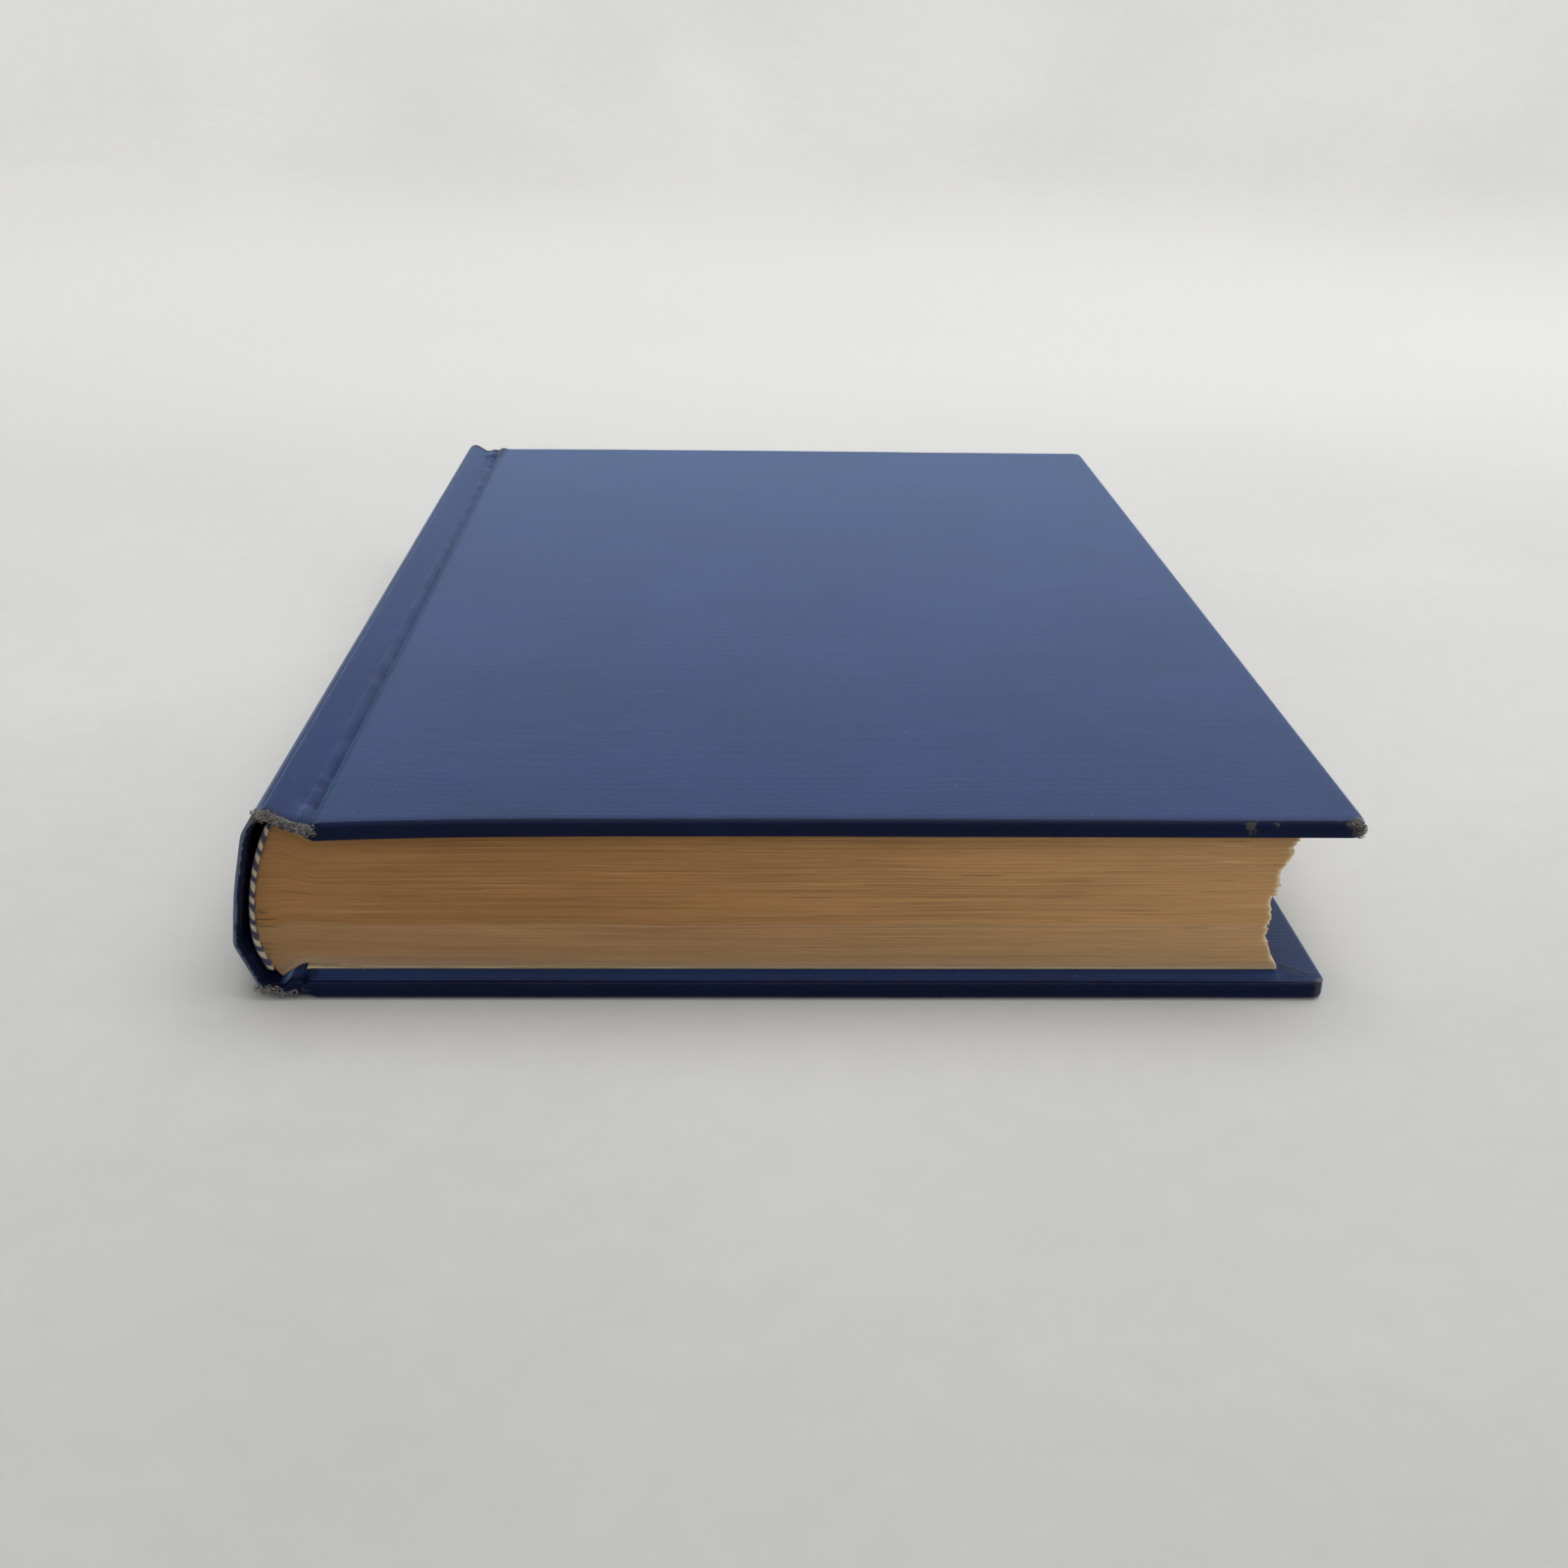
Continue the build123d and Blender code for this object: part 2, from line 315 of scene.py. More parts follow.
class Shader:
    """The node tree of a new material or world, with one method that makes any node."""

    def __init__(self, name: str, kind: str = "materials") -> None:
        """Starts an empty tree called name, in bpy.data's materials or worlds."""
        self.owner = getattr(bpy.data, kind).new(name)
        self.owner.use_nodes = True
        self.tree = self.owner.node_tree
        self.tree.nodes.clear()

    def node(self, kind: str, settings: Optional[dict] = None, **inputs: object) -> bpy.types.Node:
        """Makes a node.

        Args:
            kind: the node's type, without ShaderNode.
            settings: its own settings, which are set first.
            inputs: values or links of its sockets; a name's spaces are underscores, and a number
                picks a socket by its place.

        Returns:
            The node.
        """
        made = self.tree.nodes.new("ShaderNode" + kind)
        for key, value in (settings or {}).items():
            setattr(made, key, value)
        for key, value in inputs.items():
            socket = made.inputs[int(key[1:])] if key[0] == "_" else made.inputs[key.replace("_", " ")]
            if isinstance(value, Value):
                self.tree.links.new(value.socket, socket)
            elif isinstance(value, bpy.types.NodeSocket):
                self.tree.links.new(value, socket)
            elif socket.type == "RGBA":
                socket.default_value = (*value, 1.0)
            else:
                socket.default_value = value
        return made

    def value(self, kind: str, settings: Optional[dict] = None, out: Union[int, str] = 0,
              **inputs: object) -> "Value":
        """Makes a node and wraps one of its outputs."""
        return Value(self, self.node(kind, settings, **inputs).outputs[out])

    def where(self) -> "Value":
        """Object coordinates, in metres."""
        return self.value("TexCoord", out="Object")

    def cut(self) -> "Value":
        """The piece's own UV map, which follows its surface in millimetres."""
        return self.value("UVMap", {"uv_map": "cut"})

    def layer(self, name: str) -> "Value":
        """A number that the piece's mesh carries at each point."""
        return self.value("Attribute", {"attribute_name": name}, out="Fac")

    def noise(self, vector: "Value", scale: float, detail: float, roughness: float,
              distortion: float = 0.0) -> "Value":
        """Noise between 0 and 1."""
        return self.value("TexNoise", {"noise_dimensions": "3D"}, Vector=vector, Scale=scale, Detail=detail,
                          Roughness=roughness, Distortion=distortion)

    def mix(self, factor: Term, a: Tint, b: Tint) -> "Value":
        """Colour a where factor is 0 and b where it is 1."""
        return self.value("Mix", {"data_type": "RGBA"}, 2, _0=factor, _6=a, _7=b)

    def bump(self, height: "Value", strength: float, distance: float) -> "Value":
        """A normal from heights."""
        return self.value("Bump", Strength=strength, Distance=distance, Height=height)

    def rays(self, *kinds: str) -> "Value":
        """1 for rays of any of the kinds, such as Camera, else 0."""
        path = self.node("LightPath")
        first, *others = (Value(self, path.outputs[f"Is {kind} Ray"]) for kind in kinds)
        for other in others:
            first = first.most(other)
        return first

    def finish(self, share: Optional["Value"] = None, other: Optional[bpy.types.Node] = None,
               **inputs: object) -> bpy.types.Material:
        """Joins a Principled shader with these inputs to the output.

        Args:
            share: how much of the other shader shows.
            other: a second shader that is mixed in.
            inputs: the Principled shader's own inputs.

        Returns:
            The material.
        """
        shader = self.node("BsdfPrincipled", **inputs)
        if other is not None:
            shader = self.node("MixShader", _0=share, _1=shader.outputs[0], _2=other.outputs[0])
        self.node("OutputMaterial", Surface=shader.outputs[0])
        return self.owner


class Value:
    """A socket that takes part in Python expressions, each adding its Math node."""

    def __init__(self, shader: Shader, socket: bpy.types.NodeSocket) -> None:
        """Wraps one output of a shader's tree."""
        self.shader, self.socket = shader, socket

    def _math(self, operation: str, *terms: Term) -> "Value":
        """One Math node over numbers and sockets."""
        numbered = {f"_{place}": term for place, term in enumerate(terms)}
        return self.shader.value("Math", {"operation": operation}, **numbered)

    def __add__(self, other: Term) -> "Value":
        """self + other."""
        return self._math("ADD", self, other)

    __radd__ = __add__

    def __sub__(self, other: Term) -> "Value":
        """self - other."""
        return self._math("SUBTRACT", self, other)

    def __rsub__(self, other: Term) -> "Value":
        """other - self."""
        return self._math("SUBTRACT", other, self)

    def __mul__(self, other: Term) -> "Value":
        """self * other."""
        return self._math("MULTIPLY", self, other)

    __rmul__ = __mul__

    def clamp(self) -> "Value":
        """self held between 0 and 1."""
        return self._math("MINIMUM", self.most(0.0), 1.0)

    def most(self, other: Term) -> "Value":
        """The greater of the two."""
        return self._math("MAXIMUM", self, other)

    def sine(self) -> "Value":
        """Sine of self in radians."""
        return self._math("SINE", self)

    def ramp(self, low: float, high: float) -> "Value":
        """0 below low, 1 above high, with a smooth rise between."""
        return self.shader.value("MapRange", {"interpolation_type": "SMOOTHSTEP"}, Value=self,
                                 From_Min=low, From_Max=high)

    def part(self, axis: int) -> "Value":
        """X, Y or Z of a vector."""
        return self.shader.value("SeparateXYZ", out=axis, Vector=self)

    def stretched(self, x: float, y: float, z: float = 1.0) -> "Value":
        """A vector with each part multiplied."""
        return self.shader.value("VectorMath", {"operation": "MULTIPLY"}, _0=self, _1=(x, y, z))


# Finishes


@dataclass(frozen=True)
class Bookcloth:
    """Navy bookcloth: a fine weave under a satin starch filling, rubbed where the book is handled, with
    painted shade on its edges, creases and hollows.
    """

    dye: Colour = (0.001, 0.005, 0.036)
    pale: Colour = (0.006, 0.024, 0.132)
    rubbed: Colour = (0.17, 0.19, 0.23)
    bared: Colour = (0.14, 0.125, 0.11)
    # The crease colour and the unlit colour are painted shade, in creases and folds and on edges and hollows.
    crease_shade: Colour = (0.002, 0.003, 0.010)
    speck: Colour = (0.36, 0.38, 0.42)
    unlit: Colour = (0.002, 0.003, 0.007)
    nap: Colour = (0.29, 0.51, 0.95)
    roughness: float = 0.38
    thread: float = 0.42

    def make(self, name: str = "bookcloth") -> bpy.types.Material:
        """The cloth's material: where its layer says so, a plain, nearly black shader without sheen stands in
        for the napped one as painted shade.

        The weave is two crossed sine waves, the mottling is noise, the rubbed and worn places come from
        layers, and the crease colour is painted shade in creases and folds.
        """
        s = Shader(name)
        cut = s.cut()
        warp, weft = ((cut.part(axis) * (2 * math.pi / self.thread)).sine() for axis in (0, 1))
        streaks = s.noise(cut.stretched(0.07, 1.9), 1.0, 3.0, 0.6)
        mottle = s.noise(cut.stretched(0.028, 0.028), 1.0, 4.0, 0.55, 0.6)
        clouds = s.noise(cut.stretched(0.35, 0.35), 1.0, 3.0, 0.6)
        grain = s.noise(cut.stretched(2.6, 2.6), 1.0, 2.0, 0.6)
        specks = s.noise(cut.stretched(1.9, 1.9), 1.0, 0.0, 0.5).ramp(0.835, 0.875)
        colour = s.mix((mottle * 0.75 + clouds * 0.30 + streaks * 0.75 - 0.62).clamp(), self.dye, self.pale)
        patchy = (s.layer("rub") * 1.5 - clouds * 0.8 - grain * 0.35).ramp(0.05, 0.75)
        worn = (s.layer("bare") * 1.6 - grain * 0.9).ramp(0.15, 0.7)
        # Rubbed and worn-through places and specks are the cloth's own colour; the crease colour is painted
        # shade in creases and folds.
        for share, over in ((patchy * 0.80, self.rubbed), (worn, self.bared),
                            (s.layer("crease").clamp() * 0.85, self.crease_shade), (specks * 0.35, self.speck)):
            colour = s.mix(share, colour, over)
        height = warp * 0.22 + weft * 0.3 + streaks * 1.6 + grain * 0.9 + patchy * 0.8
        normal = s.bump(height, 0.42, 0.00004)
        rough = (self.roughness + grain * 0.10 + patchy * 0.16 + worn * 0.2 - 0.05).clamp()
        # Painted shade: a plain, nearly black shader without sheen, mixed in on the board's edges, hollows,
        # creases and the joint.
        dull = s.node("BsdfPrincipled", Base_Color=s.mix(0.72, colour, self.unlit), Roughness=rough,
                      Normal=normal, Specular_IOR_Level=0.08)
        return s.finish(s.layer("dull").clamp(), dull, Base_Color=colour, Roughness=rough, Normal=normal,
                        Specular_IOR_Level=0.15, Sheen_Weight=1.0, Sheen_Roughness=0.36, Sheen_Tint=self.nap)


@dataclass(frozen=True)
class PageEdges:
    """Trimmed edges of some two hundred age-toned leaves."""

    light: Colour = (0.405, 0.208, 0.074)
    dark: Colour = (0.148, 0.069, 0.023)
    fore_edge_tone: Colour = (0.70, 0.46, 0.215)
    dash: Colour = (0.13, 0.065, 0.025)
    glint: Colour = (0.66, 0.42, 0.20)
    # The gap colour is painted shade, at the back of the block and between its sections.
    gap: Colour = (0.085, 0.048, 0.022)
    cream: Colour = (0.80, 0.64, 0.42)
    grime: Colour = (0.345, 0.265, 0.182)
    stain: Colour = (0.24, 0.12, 0.045)

    def make(self, name: str = "page_edges") -> bpy.types.Material:
        """Streaks along the leaves, from noise stretched along the cut's first coordinate."""
        s = Shader(name)
        cut = s.cut()
        leaves = s.noise(cut.stretched(0.016, 3.9), 1.0, 5.0, 0.75)
        sections = s.noise(cut.stretched(0.004, 0.75), 1.0, 2.0, 0.5)
        fine = s.noise(cut.stretched(0.05, 11.0), 1.0, 2.0, 0.7)
        broad = s.noise(cut.stretched(0.03, 0.16), 1.0, 3.0, 0.5)
        dashes = s.noise(cut.stretched(0.09, 6.0), 1.0, 1.0, 0.5).ramp(0.67, 0.73)
        # Painted highlights: short glints along the leaf edges.
        glints = s.noise(cut.stretched(0.05, 5.0, 2.0), 1.0, 1.0, 0.5, 0.2).ramp(0.68, 0.74)
        nicks = s.noise(cut.stretched(0.06, 4.4, 3.0), 1.0, 1.0, 0.5).ramp(0.70, 0.76)
        lines = (leaves * 0.62 + fine * 0.38).ramp(0.38, 0.58)
        contrast = cut.part(0).ramp(10.0, 110.0) * 0.36 + 0.40
        tone = ((lines - 0.5) * contrast + sections * 0.26 + broad * 0.48 + 0.15).clamp()
        colour = s.mix(tone, self.dark, self.light)
        # Of these marks, the gap colour is painted shade and the glints are painted highlights.
        for share, over in (
                # Lighter and warmer towards the fore edge.
                (cut.part(0).ramp(35.0, 150.0) * 0.30, self.fore_edge_tone), (dashes * 0.62, self.dash),
                (glints * 0.24, self.glint), ((s.layer("gap") * 0.45).clamp(), self.gap),
                (((nicks * s.layer("pale")).clamp() * 0.7).most(s.layer("lip")), self.cream),
                ((s.layer("grime") * (0.55 + fine * 0.6)).clamp() * 0.74, self.grime),
                (s.layer("stain") * 0.38, self.stain)):
            colour = s.mix(share, colour, over)
        height = lines * 1.0 + fine * 0.6 + s.noise(s.where(), 2600.0, 2.0, 0.6) * 0.25
        return s.finish(Base_Color=colour, Roughness=0.86, Normal=s.bump(height, 0.45, 0.00006),
                        Specular_IOR_Level=0.25)


@dataclass(frozen=True)
class Sheet:
    """Flat fibrous sheets: paper, card, board, lining and gauze differ by colour and fibre size."""

    colour: Colour
    toned: Colour
    fibre: float = 900.0
    woven: float = 0.0

    def make(self, name: str) -> bpy.types.Material:
        """Cloudy toning and fibres, and crossed threads where the sheet is woven."""
        s = Shader(name)
        where = s.where()
        clouds = s.noise(where, 26.0, 4.0, 0.6, 0.4)
        fibres = s.noise(where.stretched(1.0, 0.45), self.fibre, 4.0, 0.65)
        colour = s.mix((clouds * 0.9 + fibres * 0.35 - 0.35).clamp(), self.toned, self.colour)
        height: Value = fibres
        if self.woven:
            pitch = 2 * math.pi / self.woven
            mesh = (where.part(0) * pitch).sine().most((where.part(1) * pitch).sine())
            colour = s.mix(mesh.ramp(0.1, 0.8), self.toned, colour)
            height = fibres * 0.3 + mesh
        return s.finish(Base_Color=colour, Roughness=0.9, Normal=s.bump(height, 0.35, 0.00006),
                        Specular_IOR_Level=0.25)


@dataclass(frozen=True)
class Thread:
    """Endband thread in two colours, laid on a slant; each colour goes from soiled to clean."""

    cream: tuple[Colour, Colour] = ((0.30, 0.24, 0.16), (0.56, 0.50, 0.38))
    dark: tuple[Colour, Colour] = ((0.018, 0.022, 0.060), (0.05, 0.055, 0.12))

    def make(self, name: str = "endband_thread") -> bpy.types.Material:
        """The stripe layer is 1 on cream threads; fine strands run along each one."""
        s = Shader(name)
        strands = s.noise(s.cut().stretched(3.2, 9.0), 1.0, 2.0, 0.6)
        soil = s.noise(s.where(), 900.0, 2.0, 0.5)
        cream = s.mix((soil * 0.9 + strands * 0.5 - 0.2).clamp(), *self.cream)
        dark = s.mix((strands - 0.2).clamp(), *self.dark)
        colour = s.mix((s.layer("stripe") + strands * 0.3 - 0.15).ramp(0.35, 0.65), dark, cream)
        return s.finish(Base_Color=colour, Roughness=0.78, Normal=s.bump(strands, 0.5, 0.00008),
                        Sheen_Weight=0.15, Sheen_Roughness=0.5)


@dataclass(frozen=True)
class Fray:
    """Loose cotton threads of the worn bookcloth: grey-brown with a trace of the blue dye."""

    bare: Colour = (0.27, 0.235, 0.195)
    dyed: Colour = (0.055, 0.055, 0.070)

    def make(self, name: str = "frayed_threads") -> bpy.types.Material:
        """Each thread has its own shade, from its layer, with darker stretches."""
        s = Shader(name)
        soil = s.noise(s.where(), 1300.0, 2.0, 0.6)
        colour = s.mix((s.layer("shade") * 1.2 + soil * 0.9 - 0.75).clamp(), self.dyed, self.bare)
        return s.finish(Base_Color=colour, Roughness=0.92, Sheen_Weight=0.2, Sheen_Roughness=0.6,
                        Specular_IOR_Level=0.2)


@dataclass(frozen=True)
class Studio:
    """Plain pale cloth of the floor and backdrop; each colour goes from darker to lighter clouds."""

    near: tuple[Colour, Colour] = ((0.398, 0.401, 0.389), (0.447, 0.451, 0.437))
    far: tuple[Colour, Colour] = ((0.512, 0.512, 0.504), (0.563, 0.561, 0.553))
    wall: tuple[Colour, Colour] = ((0.672, 0.668, 0.656), (0.738, 0.733, 0.720))
    beyond: Colour = (0.630, 0.628, 0.618)

    def make(self, name: str = "studio") -> bpy.types.Material:
        """Diffuse cloth that keeps the shadow, with the far sweep lifted by its own light."""
        s = Shader(name)
        where = s.where()
        weave = s.noise(where, 160.0, 3.0, 0.6)
        tint = (s.noise(where, 7.0, 5.0, 0.55, 0.3) * 0.75 + weave * 0.25).ramp(0.25, 0.75)
        near, far, wall = (s.mix(tint, *pair) for pair in (self.near, self.far, self.wall))
        # Painted light falloff: the floor is darker near the camera and lighter towards the back.
        base = s.mix(where.part(1).ramp(-0.24, 0.05), near, far)
        base = s.mix(where.part(1).ramp(0.06, 0.42), base, self.beyond)
        cloth = s.node("BsdfDiffuse", Color=base, Normal=s.bump(weave, 0.08, 0.0004))
        glow = s.node("Emission", Color=wall, Strength=1.0)
        both = s.node("MixShader", _0=s.rays("Camera", "Glossy") * where.part(2).ramp(0.0015, 0.06),
                      _1=cloth.outputs[0], _2=glow.outputs[0])
        s.node("OutputMaterial", Surface=both.outputs[0])
        return s.owner


class Finishes:
    """Every finish of the book, made once, by the name of the record's material slot."""

    def __init__(self) -> None:
        """Builds the materials; the frayed threads get a finish of their own, outside the slots."""
        self.fray = Fray().make()
        self.by_slot = {
            "bookcloth": Bookcloth().make(),
            "pages": PageEdges().make(),
            "endband": Thread().make(),
            "endpaper": Sheet((0.66, 0.55, 0.38), (0.52, 0.40, 0.25)).make("endpaper"),
            "board": Sheet((0.33, 0.29, 0.24), (0.22, 0.19, 0.155), 500.0).make("greyboard"),
            "card": Sheet((0.42, 0.35, 0.26), (0.30, 0.24, 0.17), 700.0).make("inlay_card"),
            "lining_paper": Sheet((0.34, 0.23, 0.13), (0.24, 0.15, 0.08), 700.0).make("kraft_lining"),
            "gauze": Sheet((0.52, 0.45, 0.33), (0.30, 0.23, 0.14), 900.0, 0.0011).make("mull_gauze"),
        }

    def fit(self, piece: bpy.types.Object, slot: str, node: Optional[str] = None) -> None:
        """Gives a piece its slot's finish and hides the CAD node that it replaces.

        Args:
            piece: the piece.
            slot: the record's material slot.
            node: the CAD node in whose place it stands.
        """
        dress(piece, self.by_slot[slot])
        if node:
            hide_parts(node)


def dress(piece: bpy.types.Object, material: bpy.types.Material) -> None:
    """Gives a piece its one finish."""
    piece.data.materials.clear()
    piece.data.materials.append(material)


# The case


# X and Z of the corners of the spine's outer line, from the front joint over both ridges to the back
# joint, and the radius at each inner corner.
SPINE_CORNERS = ((5.5, 25.5), (4.9, 25.5), (0.6, 28.0), (-1.8, 24.3), (-3.62, 15.5),
                 (-4.4, 8.0), (-1.4, 1.3), (1.3, 0.1), (2.6, 1.7), (3.2, 1.7))
SPINE_RADII = (0.7, 1.6, 5.0, 60.0, 3.0, 2.5, 1.4, 0.7)


def spine_line(step: float) -> tuple[Array, int, int]:
    """The spine's outer line, and the numbers of its points on the crests of both ridges."""
    line = rounded_line(SPINE_CORNERS, SPINE_RADII, step)
    low = np.where(line[:, 1] < 8.0)[0]
    return line, int(np.argmax(line[:, 1])), int(low[np.argmin(line[low, 1])])


@dataclass
class Rim:
    """How a sheet rounds an edge: distances outwards and inwards through the thickness, step by step."""

    reach: float
    rounding: float
    steps: int = 7

    def at(self, step: Array, depth: Array) -> tuple[Array, Array]:
        """Where each step of the rim lies, from the flat face (0) to the middle of the edge (steps + 1).

        The sheet runs flat to reach - r, then follows a quarter circle of radius r, which is never
        more than the half thickness, and drops straight to the middle of the edge.

        Args:
            step: number of the step at each point.
            depth: full thickness at each point.

        Returns:
            Outward and downward distance of each point.
        """
        r = np.minimum(self.rounding, depth / 2)
        angle = np.clip((step - 1) / (self.steps - 1), 0, 1) * math.pi / 2
        out = np.where(step == 0, 0.0, self.reach - r + r * np.sin(angle))
        return out, np.where(step > self.steps, depth / 2, r * (1 - np.cos(angle)) * (step > 0))


def shell(outer: Array, inner: Array, ys: Array, rim: Rim, fore_rim: bool,
          lift: Callable[[Array, Array], Array], along: Array,
          end_inner: Optional[Array] = None, end_outer: Optional[Array] = None) -> tuple[list[Patch], Array]:
    """A closed shell between two lines, rounded at both ends and, if asked, at the fore edge.

    A rim point stands at base + reach * (cos a, sin a), where a comes from how far the grid has
    stepped past each edge, so that a square corner of the grid lies on a round corner of the board.

    Args:
        outer: outer line, (n, 2) as X and Z.
        inner: inner line, point by point under the outer one.
        ys: Y of the rows between the rims.
        rim: how the edges are rounded.
        fore_rim: whether the last point of the lines ends in a rim too.
        lift: how far the surface stands out from its line at X and Y.
        along: distance along the outer line, for the cut's first coordinate.
        end_inner: the inner line at both ends, where it differs; it takes over 6 to 3 mm from them.
        end_outer: the same for the outer line.

    Returns:
        The patches, and how near each point of the outer one is to an edge.
    """
    count, n = rim.steps + 1, len(outer)
    row = np.arange(n + (count if fore_rim else 0))
    base = np.minimum(row, n - 1)
    step_u = np.maximum(row - (n - 1), 0)[:, None]
    column = np.arange(len(ys) + 2 * count)
    step_v = np.maximum(np.maximum(count - column, column - (count + len(ys) - 1)), 0)[None, :]
    sign = np.where(column < count, -1.0, 1.0)[None, :]
    base_y = ys[np.clip(column - count, 0, len(ys) - 1)]
    k = np.maximum(step_u, step_v)
    angle = np.arctan2(step_v * sign, np.maximum(step_u, 1e-9))
    angle = np.where((step_u == 0) & (step_v > 0), np.pi / 2 * sign, angle)
    near_end = smooth_step((6.0 - (np.abs(ys).max() - np.abs(base_y))) / 3.0)[None, :, None]
    top, low = (
        line[base][:, None, :] * (1 - near_end) + (line if end is None else end)[base][:, None, :] * near_end
        for line, end in ((outer, end_outer), (inner, end_inner)))
    depth = np.linalg.norm(top - low, axis=2)
    reach, drop = rim.at(k, depth)
    past_u = step_u >= step_v
    patches = []
    for line, other, is_inner, turned in ((top, low, False, 1.0), (low, top, True, 0.45)):
        through = (other - line) / depth[..., None]
        near = np.where(k == count, depth / 2, drop * turned)
        x = line[..., 0] + through[..., 0] * near + reach * np.cos(angle)
        z = line[..., 1] + through[..., 1] * near
        y = base_y[None, :] + reach * np.sin(angle)
        rise = lift(x, y) * (k < count) * (0.0 if is_inner else 1.0)
        x, z = x - through[..., 0] * rise, z - through[..., 1] * rise
        s = along[base][:, None] + reach * np.cos(angle) + drop * past_u
        patches.append(Patch(grid(x, y, z), grid(s, y + drop * sign * ~past_u), {}, is_inner))
    patches.append(Patch(np.stack([p.points[0] for p in patches]), np.stack([p.uv[0] for p in patches])))
    return patches, k / count


